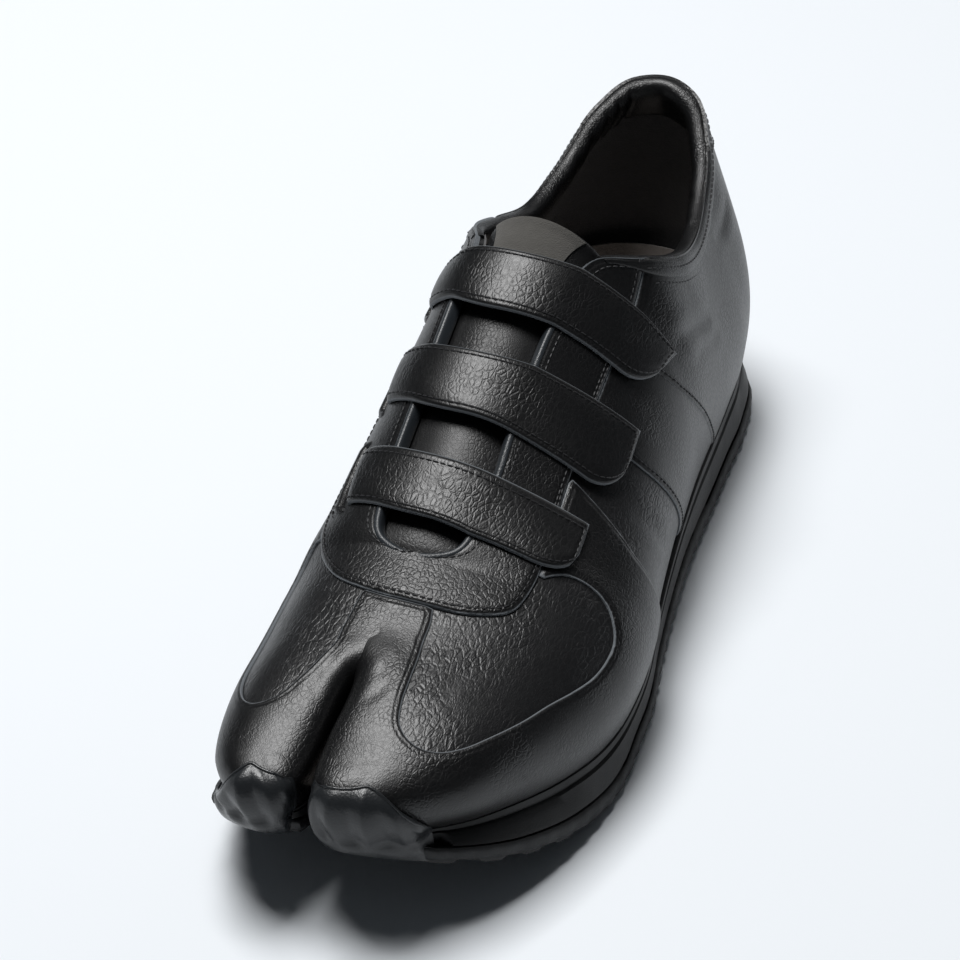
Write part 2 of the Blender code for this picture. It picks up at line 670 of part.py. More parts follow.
def bridge_point(a, b):
    """Point of the instep: a runs up the throat, b across it from medial -1 to lateral 1."""
    lateral = section(THROAT_LATERAL[0] + (THROAT_LATERAL[1] - THROAT_LATERAL[0]) * a)
    medial = section(THROAT_MEDIAL[0] + (THROAT_MEDIAL[1] - THROAT_MEDIAL[0]) * a)
    if b >= BRIDGE:
        return bezier(lateral, 1.0 - (b - BRIDGE))
    if b <= -BRIDGE:
        return bezier(medial, 1.0 - (-b - BRIDGE))
    reach = BRIDGE_REACH * np.linalg.norm(lateral[3] - medial[3])
    from_medial = (medial[3] - medial[2]) / np.linalg.norm(medial[3] - medial[2])
    from_lateral = (lateral[3] - lateral[2]) / np.linalg.norm(lateral[3] - lateral[2])
    arch = (medial[3], medial[3] + from_medial * reach, lateral[3] + from_lateral * reach, lateral[3])
    return bezier(arch, (b + BRIDGE) / (2 * BRIDGE))


def bridge_frame(a, b):
    """Point of the instep and its outward normal."""
    step = 0.01
    along = bridge_point(a + step, b) - bridge_point(a - step, b)
    across = bridge_point(a, b + step) - bridge_point(a, b - step)
    normal = np.cross(across, along)
    return bridge_point(a, b), normal / np.linalg.norm(normal)


def tongue_grids():
    """Outer and inner sheet of the tongue under the facing, standing proud at its top."""
    outer = []
    inner = []
    for a in TONGUE_ROWS:
        free = max(0.0, a - TONGUE_FREE) / (TONGUE_ROWS[-1] - TONGUE_FREE)
        row_out = []
        row_in = []
        for b in np.linspace(-TONGUE_HALF, TONGUE_HALF, TONGUE_STEPS + 1):
            point, normal = bridge_frame(a, b)
            sunk = WALL + TONGUE_CLEAR - TONGUE_STAND * free * max(0.0, 1.0 - (b / BRIDGE) ** 2)
            row_out.append(point - normal * sunk)
            row_in.append(point - normal * (sunk + TONGUE))
        outer.append(row_out)
        inner.append(row_in)
    return np.array(outer), np.array(inner)


def strap_grids(front, back, bow, skew, medial, lateral):
    """Lower and upper sheet of a strap, with a sharp back corner and a round front corner at its tip."""
    clear = GAP + PANEL + STRAP_CLEAR
    body = np.linspace(0.0, 1.0 - STRAP_TIP, STRAP_STEPS + 1)[:-1]
    tip = 1.0 - STRAP_TIP * np.cos(np.linspace(0.0, math.pi / 2, STRAP_TIP_STEPS + 1))
    outer = []
    inner = []
    for share in np.concatenate([body, tip]):
        b = medial + (lateral - medial) * share
        into_tip = min(max(0.0, share - 1.0 + STRAP_TIP) / STRAP_TIP, 1.0)
        round_off = (1.0 - math.sqrt(1.0 - into_tip ** 2)) * STRAP_ROUND
        row_out = []
        row_in = []
        for k in range(STRAP_LINES + 1):
            width = round_off + (1.0 - round_off) * k / STRAP_LINES
            a = front + (back - front) * width + bow * b * b + skew * b
            point, normal = bridge_frame(a, b)
            row_in.append(point + normal * clear)
            row_out.append(point + normal * (clear + STRAP))
        outer.append(row_out)
        inner.append(row_in)
    return np.array(outer), np.array(inner)


def seam(table, along=0.0, up=0.0):
    """Seam of the side view at the driving sizes, moved along the shoe or up."""
    return [(y * SCALE_Y + along, z * SCALE_Z + up) for y, z in table]


def side_cutter(name, group, shape, low_x=-FAR, high_x=FAR):
    """Form inside a closed shape of the side view."""
    return cutter(prism(name, group, shape, "x", low_x, high_x))


def plan_cutter(name, group, margin):
    """Upright form over the sole's plan."""
    return cutter(prism(name, group, outline(margin), "z", DEEP, TALL))


def panel(name, group, finish, keep, clear):
    """Overlay cut out of the space between two larger forms of the upper."""
    bm = upper_surface(GAP, PANEL_HEM)
    low, high = np.array(FORK) * (SCALE_X * MM, SCALE_Y * MM)
    tight = []
    for face in bm.faces:
        middle = face.calc_center_median()
        if low[0] < middle.x < high[0] and low[1] < middle.y < high[1]:
            tight.append(face)
    bmesh.ops.delete(bm, geom=tight, context="FACES")
    made = add_object(name, bm, group, finish)
    solidify(made, PANEL, 1.0)
    boolean(made, keep, "INTERSECT")
    for form in clear:
        boolean(made, form, "DIFFERENCE")
    return made


def facing_plan(grow):
    """Plan of the facing, moved out by grow."""
    knots = np.array(FACING) * (SCALE_X, SCALE_Y)
    spans = np.linalg.norm(np.diff(knots, axis=0), axis=1)
    m = slopes(knots, spans, False)
    points = [hermite(knots[i], knots[i + 1], m[i] * spans[i], m[i + 1] * spans[i], k / 3)
              for i in range(len(spans)) for k in range(3)]
    points = np.array(points + [knots[-1]])
    along = np.gradient(points, axis=0)
    out = np.stack([along[:, 1], -along[:, 0]], axis=1) / np.linalg.norm(along, axis=1)[:, None]
    return points - out * grow


def facing_form(name, group, grow):
    """Upright form over the plan of the facing, on a plane that climbs towards the ankle."""
    bm = bmesh.new()
    plane = [(x, y, FACING_LOW * SCALE_Z + FACING_CLIMB * y - grow) for x, y in facing_plan(grow)]
    face = bm.faces.new([bm.verts.new((x * MM, y * MM, z * MM)) for x, y, z in plane])
    grown = bmesh.ops.extrude_face_region(bm, geom=[face])["geom"]
    for v in grown:
        if isinstance(v, bmesh.types.BMVert):
            v.co.z = TALL * MM
    bmesh.ops.recalc_face_normals(bm, faces=bm.faces)
    return cutter(add_object(name, bm, group))


def main():
    for old in list(bpy.data.objects):
        bpy.data.objects.remove(old, do_unlink=True)
    parts = collection("tabi_sneaker")
    cutters = collection("cutters")

    upper = add_object("upper", upper_surface(), parts, LEATHER)
    solidify(upper, WALL, -1.0)

    outsole = prism("outsole", parts, lug_profile(), "x", -FAR, FAR, RUBBER)
    boolean(outsole, plan_cutter("outsole_plan", cutters, ledge), "INTERSECT")
    boolean(outsole, bumper("bumper_big", cutters, BUMPER_BIG), "UNION")
    boolean(outsole, bumper("bumper_four", cutters, BUMPER_FOUR), "UNION")

    midsole = prism("midsole", parts, sole_profile(2, GAP, 3, -GAP), "x", -FAR, FAR, FOAM)
    boolean(midsole, flared_plan("midsole_plan", cutters, midsole_foot, midsole_top), "INTERSECT")

    insole = prism("insole", parts, sole_profile(3, GAP, 3, GAP + INSOLE), "x", -FAR, FAR, LINING)
    boolean(insole, plan_cutter("insole_plan", cutters, lambda g: -WALL - 2 * GAP), "INTERSECT")

    closed_grid("tongue", parts, *tongue_grids(), LEATHER)
    for name, row in STRAPS.items():
        closed_grid(name, parts, *strap_grids(*row), LEATHER)

    keep_facing = facing_form("facing_plan", cutters, 0.0)
    clear_facing = facing_form("facing_clear", cutters, GAP)
    panel("facing", parts, LEATHER, keep_facing, ())

    windows = (window_cutter("window_lateral", cutters, WINDOW_LATERAL),
               window_cutter("window_medial", cutters, WINDOW_MEDIAL))
    guard = seam(SEAM_GUARD)
    ahead = [(AHEAD, guard[-1][1]), (AHEAD, guard[0][1])]
    keep_guard = side_cutter("guard_side", cutters, guard + ahead)
    panel("toe_guard", parts, LEATHER, keep_guard, (clear_facing, *windows))

    quarter = seam(SEAM_QUARTER) + seam(SEAM_COUNTER, along=-GAP)[::-1]
    for name, low_x, high_x in (("quarter_medial", -FAR, 0.0), ("quarter_lateral", 0.0, FAR)):
        keep_quarter = side_cutter(name + "_side", cutters, quarter, low_x, high_x)
        panel(name, parts, LEATHER, keep_quarter, (clear_facing,))

    counter = seam(SEAM_COUNTER)
    tab = seam(SEAM_TAB)
    over_counter = [(counter[0][0], TALL), (tab[0][0], TALL)]
    behind_counter = over_counter + seam(SEAM_TAB, up=-GAP) + [(BEHIND, UNDER)]
    keep_counter = side_cutter("counter_side", cutters, behind_counter + counter[::-1])
    panel("heel_counter", parts, LEATHER, keep_counter, (clear_facing,))

    keep_tab = side_cutter("tab_side", cutters, [(y, TALL) for y, _ in tab] + tab[::-1])
    panel("heel_tab", parts, LEATHER, keep_tab, ())


main()
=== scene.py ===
"""Looks of the left tabi sneaker: leather upper with overlays, straps, stitching, lining and rubber sole.

The upper is a grid of half sections round the feather edge, in the shoe's own millimetres.
g is the place round the feather edge, v the share of the way up a section.
a and b run up and across the bridge over the throat.
"""
import math

import bmesh
import bpy
import numpy as np
from mathutils import Matrix, Vector


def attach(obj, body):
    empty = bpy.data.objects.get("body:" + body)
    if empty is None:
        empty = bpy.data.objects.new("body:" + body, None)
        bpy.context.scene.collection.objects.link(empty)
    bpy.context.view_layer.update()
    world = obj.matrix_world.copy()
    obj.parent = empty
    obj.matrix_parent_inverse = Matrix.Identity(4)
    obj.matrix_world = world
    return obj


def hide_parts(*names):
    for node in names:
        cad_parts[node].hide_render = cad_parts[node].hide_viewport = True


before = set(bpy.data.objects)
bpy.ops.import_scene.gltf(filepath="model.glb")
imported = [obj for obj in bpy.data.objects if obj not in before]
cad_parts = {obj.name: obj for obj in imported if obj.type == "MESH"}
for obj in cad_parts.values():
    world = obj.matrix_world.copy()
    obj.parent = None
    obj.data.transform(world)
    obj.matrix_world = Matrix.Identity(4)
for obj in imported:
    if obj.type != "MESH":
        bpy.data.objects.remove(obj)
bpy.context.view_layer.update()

bl_info = {
    "name": "Tabi Sneaker Looks",
    "version": (1, 0, 0),
    "blender": (4, 5, 0),
    "location": "3D View > Sidebar > Shoe",
    "description": "Leather, stitching, lining and rubber of a left split-toe sneaker",
    "category": "Add Mesh",
}

MM = 0.001
METRE = 1000.0
# Middle of the sole's plan in the tables below, in millimetres; the finished shoe stands over it
MIDDLE = np.array((1.439, 2.228, 0.0))

# Wall of the upper, gap between pieces, overlay, tongue
WALL = 2.0
GAP = 0.3
PANEL = 1.3
TONGUE = 3.5

# Rim of the opening, from the front of the throat up its lateral edge, round the heel and back: x, y, z
COLLAR = (
    (-10.0, -58.0, 65.0),
    (0.0, -54.5, 65.8),
    (3.0, -40.0, 70.5),
    (3.0, -11.0, 82.5),
    (4.0, 18.0, 94.5),
    (9.0, 41.0, 102.0),
    (20.5, 50.0, 99.5),
    (26.5, 64.0, 92.5),
    (26.5, 82.0, 86.5),
    (23.5, 102.0, 87.5),
    (18.0, 122.5, 96.0),
    (11.5, 133.0, 103.0),
    (2.0, 137.5, 105.0),
    (-7.0, 134.5, 104.5),
    (-14.5, 123.0, 100.5),
    (-20.5, 104.0, 90.5),
    (-25.0, 83.0, 86.5),
    (-28.0, 67.0, 92.0),
    (-29.5, 52.0, 98.0),
    (-25.5, 41.0, 101.5),
    (-25.0, 18.0, 94.0),
    (-25.0, -11.0, 82.0),
    (-24.0, -40.0, 70.0),
    (-20.5, -54.5, 65.8),
    (-10.0, -58.0, 65.0),
)
# Top line of the vamp from the throat to the fork of the toes, then the crown of each toe pocket: x, y, z
RIDGE = ((-10.0, -58.0, 65.0), (-10.2, -70.0, 62.2), (-10.8, -83.0, 58.6))
BIG = (
    (-10.8, -83.0, 58.6),
    (-20.0, -93.0, 56.2),
    (-24.5, -103.0, 53.2),
    (-27.5, -114.0, 49.8),
    (-29.0, -124.5, 46.4),
)
FOUR = (
    (-10.8, -83.0, 58.6),
    (-2.5, -93.0, 57.4),
    (1.0, -103.0, 55.2),
    (2.5, -114.0, 52.4),
    (3.0, -124.5, 48.8),
)
LINES = {"collar": COLLAR, "ridge": RIDGE, "big": BIG, "four": FOUR}

# One row a section, round the feather edge from the lateral side of the throat by way of the heel:
# line and knots it lands on from this row to the next, feather x and y, bulge of the side, rise as a share of
# the height, slope at the top in degrees, reach of the top as a share of the width, ledge of the sole
SECTIONS = (
    ("collar", 0, 1, 48.8, -57.0, 9.0, 0.60, 4.0, 0.56, 4.0),
    ("collar", 1, 2, 49.3, -47.0, 9.2, 0.58, 9.0, 0.53, 3.0),
    ("collar", 2, 3, 48.8, -34.0, 9.2, 0.53, 19.0, 0.49, 3.0),
    ("collar", 3, 4, 45.0, -9.0, 9.0, 0.47, 28.0, 0.46, 3.0),
    ("collar", 4, 5, 42.0, 16.0, 8.6, 0.42, 34.0, 0.44, 3.0),
    ("collar", 5, 6, 40.3, 36.0, 7.2, 0.38, 42.0, 0.44, 3.0),
    ("collar", 6, 7, 39.5, 50.0, 5.0, 0.36, 58.0, 0.40, 3.2),
    ("collar", 7, 8, 39.0, 66.0, 5.0, 0.36, 72.0, 0.36, 3.4),
    ("collar", 8, 9, 38.3, 84.0, 6.0, 0.36, 74.0, 0.34, 3.6),
    ("collar", 9, 10, 36.8, 103.0, 7.0, 0.36, 72.0, 0.34, 4.6),
    ("collar", 10, 11, 30.5, 123.5, 9.0, 0.38, 74.0, 0.34, 6.4),
    ("collar", 11, 12, 18.5, 134.5, 10.0, 0.38, 78.0, 0.34, 6.0),
    ("collar", 12, 13, 1.5, 138.0, 10.0, 0.38, 82.0, 0.34, 4.6),
    ("collar", 13, 14, -15.5, 134.0, 9.0, 0.38, 78.0, 0.34, 4.0),
    ("collar", 14, 15, -28.0, 121.5, 8.0, 0.38, 74.0, 0.34, 3.8),
    ("collar", 15, 16, -32.5, 102.0, 6.0, 0.36, 72.0, 0.34, 3.4),
    ("collar", 16, 17, -32.0, 82.0, 5.0, 0.36, 74.0, 0.34, 3.0),
    ("collar", 17, 18, -31.0, 64.0, 5.0, 0.36, 72.0, 0.36, 3.0),
    ("collar", 18, 19, -30.5, 50.0, 6.0, 0.38, 62.0, 0.40, 3.0),
    ("collar", 19, 20, -30.3, 36.0, 8.0, 0.42, 50.0, 0.44, 3.0),
    ("collar", 20, 21, -31.3, 17.0, 10.0, 0.46, 40.0, 0.46, 3.0),
    ("collar", 21, 22, -36.0, -9.0, 11.0, 0.50, 30.0, 0.48, 3.0),
    ("collar", 22, 23, -42.5, -36.0, 9.0, 0.56, 19.0, 0.51, 3.0),
    ("collar", 23, 24, -45.2, -49.0, 7.0, 0.60, 9.0, 0.54, 3.0),
    ("ridge", 0, 1, -46.2, -58.5, 7.0, 0.62, 4.0, 0.56, 3.0),
    ("ridge", 1, 2, -46.8, -71.0, 6.0, 0.64, 1.0, 0.56, 3.0),
    ("big", 0, 1, -46.9, -84.0, 5.0, 0.66, 0.0, 0.56, 3.0),
    ("big", 1, 2, -46.2, -95.0, 5.0, 0.66, 0.0, 0.56, 3.0),
    ("big", 2, 3, -44.8, -105.0, 5.0, 0.66, 0.0, 0.54, 3.2),
    ("big", 3, 4, -42.6, -115.0, 5.0, 0.66, 0.0, 0.52, 3.6),
    ("big", 4, 4, -39.8, -123.0, 5.0, 0.66, 0.0, 0.50, 4.2),
    ("big", 4, 4, -35.8, -129.4, 4.0, 0.74, 0.0, 0.52, 5.0),
    ("big", 4, 4, -30.3, -133.0, 4.0, 0.76, 0.0, 0.54, 5.0),
    ("big", 4, 4, -24.0, -133.6, 3.0, 0.78, 0.0, 0.58, 5.0),
    ("big", 4, 4, -19.2, -131.2, 1.5, 0.82, 0.0, 0.62, 3.0),
    ("big", 4, 3, -17.4, -124.5, 0.0, 0.86, 0.0, 0.68, 1.4),
    ("big", 3, 2, -17.0, -115.5, 0.0, 0.92, 0.0, 0.74, 1.4),
    ("big", 2, 1, -16.7, -106.5, 0.0, 0.94, 0.0, 0.76, 1.4),
    ("big", 1, 0, -16.4, -99.5, 0.0, 0.94, 0.0, 0.76, 1.4),
    ("big", 0, 0, -15.8, -95.0, 0.0, 0.92, 0.0, 0.70, 1.4),
    ("four", 0, 0, -13.5, -93.2, 0.0, 0.90, 0.0, 0.66, 1.4),
    ("four", 0, 1, -11.2, -95.0, 0.0, 0.92, 0.0, 0.70, 1.4),
    ("four", 1, 2, -10.6, -99.5, 0.0, 0.94, 0.0, 0.76, 1.4),
    ("four", 2, 3, -10.5, -106.5, 0.0, 0.94, 0.0, 0.76, 1.4),
    ("four", 3, 4, -10.6, -115.5, 0.0, 0.92, 0.0, 0.74, 1.4),
    ("four", 4, 4, -10.6, -124.5, 0.0, 0.86, 0.0, 0.68, 1.4),
    ("four", 4, 4, -9.2, -131.2, 1.5, 0.82, 0.0, 0.62, 3.0),
    ("four", 4, 4, -4.0, -133.6, 3.0, 0.78, 0.0, 0.58, 5.0),
    ("four", 4, 4, 3.5, -132.6, 4.0, 0.76, 0.0, 0.54, 5.0),
    ("four", 4, 4, 11.5, -128.2, 4.5, 0.72, 0.0, 0.52, 5.6),
    ("four", 4, 4, 19.0, -121.5, 6.0, 0.66, 0.0, 0.52, 6.2),
    ("four", 4, 3, 25.5, -114.0, 6.5, 0.66, 0.0, 0.54, 7.0),
    ("four", 3, 2, 31.3, -105.0, 7.0, 0.66, 0.0, 0.55, 7.4),
    ("four", 2, 1, 36.7, -95.0, 7.0, 0.66, 0.0, 0.56, 7.2),
    ("four", 1, 0, 41.5, -84.5, 7.0, 0.64, 0.0, 0.56, 6.6),
    ("ridge", 2, 1, 44.8, -75.5, 7.8, 0.62, 0.0, 0.56, 5.8),
    ("ridge", 1, 0, 47.2, -66.5, 8.5, 0.60, 1.0, 0.56, 5.0),
)

# The top of each section leans in from the feather edge by this much
LEAN = 10.0

# Side view of the sole: y, ground line, top of the outsole, feather edge
SOLE = (
    (146.0, 4.0, 9.5, 26.0),
    (126.0, 0.0, 7.0, 25.5),
    (58.0, 0.0, 7.0, 24.5),
    (28.0, 1.6, 8.2, 22.3),
    (2.0, 1.2, 7.6, 20.5),
    (-22.0, 0.0, 6.5, 19.2),
    (-62.0, 0.0, 6.5, 19.2),
    (-85.0, 4.0, 10.5, 22.2),
    (-105.0, 11.0, 17.2, 26.8),
    (-122.0, 19.5, 25.2, 31.2),
    (-142.0, 31.0, 35.5, 38.0),
)

# Cross lugs of the outsole, their rounding, and how far they stay in from the ledge and behind a bumper
LUG_PITCH = 11.5
LUG_LAND = 5.5
LUG_FLANK = 1.6
LUG_DEPTH = 2.6
LUG_CENTRE = 92.0
LUG_SOFT = 0.5
LUG_INSET = 1.0
LUG_RETREAT = 1.8
# Foot and top of the midsole: how far they stand out at most, along the slit, and in from the outsole
MIDSOLE_LEDGE = 1.5
MIDSOLE_LEDGE_SLIT = 1.4
OUTSOLE_STEP = 1.2

# Bumper that wraps up over each toe: place round the feather edge, its top as a share of the section
BUMPER_BIG = (
    (30.2, 0.02), (30.9, 0.05), (31.4, 0.20), (31.9, 0.48), (32.5, 0.66), (33.2, 0.62), (34.2, 0.44),
)
BUMPER_FOUR = (
    (45.8, 0.44), (46.8, 0.58), (47.6, 0.64), (48.3, 0.60), (48.8, 0.45), (49.2, 0.26), (49.8, 0.03),
)
# Its distance off the upper, thickness in the middle and at the rim, thinning towards its top, depth of its
# foot, distance of its root in from the ledge, and bulge above the root, in millimetres
BUMPER_CLEAR = 2.0
BUMPER_THICK = 2.4
BUMPER_RIM = 0.5
BUMPER_THIN = 1.1
BUMPER_FOOT = 2.6
BUMPER_ROOT = 2.2
BUMPER_BULGE = 0.6
# Share of its length in which it tapers to each end, and places over which the sole behind it draws back
BUMPER_TAPER = 0.14
BUMPER_RUN_OUT = 0.4
# Folds of a bumper from end to end, their slant and their depth
FOLDS = 4.3
FOLD_SLANT = 0.55
FOLD_DEPTH = 1.5

# Outline of the facing in plan, from its lateral top corner round the front of the throat: x, y
FACING = (
    (21.0, 55.0),
    (21.0, 40.0),
    (20.5, 0.0),
    (21.5, -35.0),
    (22.6, -55.0),
    (20.0, -65.5),
    (11.0, -71.2),
    (-4.0, -73.0),
    (-18.0, -72.0),
    (-29.0, -67.5),
    (-36.5, -58.5),
    (-41.0, -46.0),
    (-41.5, -30.0),
    (-39.5, -10.0),
    (-38.0, 15.0),
    (-36.0, 33.0),
    (-33.5, 49.0),
)
# The facing stops at a plane that climbs towards the ankle: height under the middle of the shoe, climb
FACING_LOW = 65.8
FACING_CLIMB = 0.42
# Windows of the vamp on the upper's own sections: place round the feather edge, share of the section
WINDOW_LATERAL = (
    (55.9, 0.90), (55.3, 0.89), (54.5, 0.91), (53.5, 0.955), (52.75, 0.97), (52.25, 0.955), (51.9, 0.90),
    (51.7, 0.81), (51.75, 0.71), (52.1, 0.62), (52.75, 0.545), (53.5, 0.485), (54.4, 0.435), (55.4, 0.38),
    (56.3, 0.35), (57.1, 0.355), (57.75, 0.40), (58.25, 0.48), (58.45, 0.57), (58.4, 0.68), (57.2, 0.80),
)
WINDOW_MEDIAL = (
    (25.1, 0.87), (25.6, 0.87), (26.1, 0.885), (26.85, 0.95), (27.55, 0.97), (28.05, 0.95), (28.45, 0.905),
    (28.65, 0.82), (28.68, 0.71), (28.35, 0.56), (27.5, 0.42), (26.4, 0.36), (25.2, 0.34), (24.2, 0.36),
    (23.4, 0.42), (22.9, 0.52), (23.2, 0.64), (24.2, 0.76),
)
# Seams of the quarters in the side view: y and z at the top and at the feather edge
SEAM_GUARD = ((-17.0, 70.0), (-22.0, 50.0), (-19.0, 10.0))
SEAM_QUARTER = ((-4.0, 80.0), (4.0, 60.0), (14.0, 41.0), (30.0, 10.0))
SEAM_COUNTER = ((16.0, 98.0), (38.0, 63.5), (51.5, 46.0), (76.0, 10.0))
SEAM_TAB = ((113.0, 97.0), (124.0, 89.5), (160.0, 84.0))

# Straps over the throat: edge nearest the toe and edge nearest the ankle as shares of the throat's length,
# bow of both towards their ends, skew, medial and lateral end as shares of the way across, flare of the tip
STRAPS = {
    "strap_top": (0.715, 0.888, 0.27, 0.00, -0.66, 0.815, 0.145),
    "strap_mid": (0.450, 0.602, 0.13, -0.01, -0.68, 0.825, 0.130),
    "strap_low": (0.135, 0.337, 0.03, -0.03, -0.67, 0.735, 0.160),
}
# Share of the strap's length in its tip, share of its width in the round corner, distance over the facing
STRAP_TIP = 0.10
STRAP_ROUND = 0.62
STRAP_CLEAR = 0.45
# Shares across a strap, closer together at its rolled edges
STRAP_ACROSS = np.array(
    (0.0, 0.012, 0.035, 0.075, 0.13, 0.22, 0.36, 0.5, 0.64, 0.78, 0.87, 0.925, 0.965, 0.988, 1.0))
# Width of a strap's rolled edge, depth that its stitches pull in, its slow wave, and its dive at the base,
# in millimetres
STRAP_ROLL = 1.7
STRAP_PULL = 0.35
STRAP_WAVE = 0.30
STRAP_DIVE = 3.4
# Welt round a strap's base: shares up the throat and across from the end of its loop, how far that end lies
# past the strap; how deep it is sunk, half its height and width, and its stitches off its middle, in millimetres
WELT_FRONT = ((-0.022, 0.07), (-0.026, 0.05), (-0.016, 0.008), (0.02, 0.0))
WELT_OFF = 0.035
WELT_SUNK = 0.3
WELT_HIGH = 1.5
WELT_WIDE = 1.7
WELT_STITCH = 2.7
# The bridge over the throat takes up this share of the way across on each side of the middle
BRIDGE = 0.4
THROAT_LATERAL = (1.0, 5.0)
THROAT_MEDIAL = (23.0, 19.0)
BRIDGE_REACH = 0.36
# Ends of the tongue up the throat, its half width, and the free top that stands out
TONGUE_ENDS = (-0.14, 1.07)
TONGUE_HALF = 0.60
TONGUE_CLEAR = 0.9
TONGUE_FREE = 0.90
TONGUE_STAND = 5.0
# Swell of its padding in millimetres, and shares in which its end and its sides round off
TONGUE_PUFF = 0.8
TONGUE_ROUND_END = 0.025
TONGUE_ROUND_SIDE = 0.05
# Panel at its top: rows, half width, and height of its two faces over the tongue in millimetres
PATCH_ROWS = (0.885, 1.06)
PATCH_HALF = 0.29
PATCH_FACES = (0.05, 0.55)

# Fine grid of the upper: column pitch, columns to a row round the toes, rows up a section
FINE = 1.4
TOE_COLUMNS = 9
RISE_ROWS = 60
# Distance of what is out of a field's reach, in millimetres
FAR = 99.0
# Places round the feather edge: last section that lands on the rim, back of the heel, inner end of the slit
RIM_END = 24.0
HEEL_BACK = 12.0
SLIT_END = 40.0
# Places on each side of the slit's end that the sole leaves out, and the ledge that counts as the slit's
FORK_CLEAR = 1.2
SLIT_LEDGE = 2.0
# Stretches of the vamp whose sections fan out from the fork, rounds of smoothing there
FANS = ((51.0, 58.0), (23.5, 29.0))
FAN_ROUNDS = 40

# Creases worked into the leather: start g and v, end g and v, bow of the middle,
# half width and depth in millimetres
CREASES = (
    (5.55, 0.63, 7.40, 0.57, 0.020, 2.6, 0.75),
    (6.20, 0.52, 7.60, 0.46, 0.020, 2.2, 0.40),
    (8.80, 0.80, 9.90, 0.70, -0.03, 2.4, 0.45),
    (13.6, 0.72, 15.2, 0.80, 0.030, 2.4, 0.45),
    (52.6, 0.90, 55.0, 0.62, 0.040, 1.9, 0.13),
    (53.2, 0.86, 56.2, 0.55, 0.030, 1.8, 0.12),
    (26.8, 0.84, 24.6, 0.60, 0.030, 1.9, 0.13),
    (50.6, 0.72, 52.2, 0.42, 0.020, 2.2, 0.15),
    (29.6, 0.72, 28.6, 0.40, 0.020, 2.2, 0.15),
    (37.6, 0.95, 36.6, 0.72, 0.040, 1.5, 0.22),
    (38.2, 0.97, 37.4, 0.80, 0.030, 1.4, 0.20),
    (42.4, 0.95, 43.4, 0.72, 0.040, 1.5, 0.22),
    (41.8, 0.97, 42.6, 0.80, 0.030, 1.4, 0.20),
    (2.90, 0.50, 3.30, 0.20, 0.020, 2.4, 0.25),
    (20.6, 0.60, 21.8, 0.24, 0.030, 2.6, 0.35),
)

# Fullness of the leather over the walls of the slit: place round the feather edge, height in millimetres
FULLNESS = (
    (33.2, 0.0), (34.2, 1.2), (35.0, 2.0), (36.0, 2.2), (37.0, 2.0), (38.0, 1.6), (39.0, 2.2), (40.0, 2.8),
    (41.0, 2.4), (42.0, 2.0), (43.0, 2.8), (44.0, 3.6), (45.0, 4.0), (46.0, 2.4), (47.2, 0.0),
)
# A step of g and the length of a section, in millimetres
ROOM = (10.0, 60.0)
# How far an overlay runs under the next one, and its height as a share of the full height of an overlay
TUCK = 2.5
TIERS = {"toe_guard": 1.0, "quarter_lateral": 0.7, "quarter_medial": 0.7, "heel_counter": 1.1, "heel_tab": 1.5}
# Clear line between the facing and the overlays beside it, rolled edge of an overlay, gap under it
PANEL_CLEAR = 0.25
ROLLED = 0.9
UNDERSIDE = 0.06
# Stitches stay this far inside an overlay, the facing's inner row this far under the rim, in millimetres;
# a row on a collar or welt leaves out this many points at each end
STITCH_CLEAR = 0.4
RIM_STITCH = 3.4
STITCH_SKIP = 14
# Shell of the upper and the two faces of the lining under the upper's surface, in millimetres
SHELL = 1.4
LINING_OUTER = 1.5
LINING_INNER = 2.22
# Points closer than this are one, in metres
WELD = 0.000004

# Folded edge of the facing along the throat: distance out from the rim and inwards over it, in millimetres
FOLD = (
    (1.65, -1.2), (1.85, -0.5), (1.6, 0.2), (0.9, 0.55), (-0.3, 0.65), (-1.5, 0.6), (-2.3, 0.3), (-2.4, -0.3),
    (-1.6, -0.3), (0.4, -0.35), (1.2, -0.6),
)
# Places where it ends on each side of the throat, points on each side, points over which it fades out
FOLD_MEDIAL = 19.1
FOLD_LATERAL = 4.9
FOLD_STEPS = 110
FOLD_FADE = 14.0

# Collar roll: distance out from the rim and height over it, in millimetres, round its closed section
ROLL = (
    (1.5, -7.0), (1.9, -4.0), (1.8, -1.8), (1.1, -0.3), (0.0, 0.6), (-1.4, 0.9), (-2.9, 0.5), (-4.1, -0.8),
    (-4.8, -3.0), (-4.7, -6.0), (-4.0, -9.5), (-2.8, -12.5), (-1.9, -12.4), (-1.2, -8.0),
)
ROLL_ENDS = (5.15, 18.85)
# Points along the roll, places over which it swells from its ends, and its share of the full size there
ROLL_STEPS = 260
ROLL_SWELL = 1.2
ROLL_LEAST = 0.35
# Shares of a section that give the direction up to the rim and the normal at it
UNDER_RIM = 0.94
AT_RIM = 0.97
# Stitch rows of the collar: drop under the rim, and stand off it or over the overlay, in millimetres
ROLL_STITCH = (3.6, 1.95)
PANEL_STITCH = (9.0, 0.1)

# Puckers of the collar roll: place round the rim, half width, depth as a share of the roll
PUCKERS = (
    (8.60, 0.10, 0.10), (9.05, 0.08, 0.14), (9.50, 0.10, 0.08), (13.30, 0.10, 0.12), (13.70, 0.08, 0.16),
    (14.05, 0.08, 0.14), (14.45, 0.10, 0.18), (14.85, 0.08, 0.12), (15.40, 0.12, 0.10), (16.60, 0.12, 0.08),
)

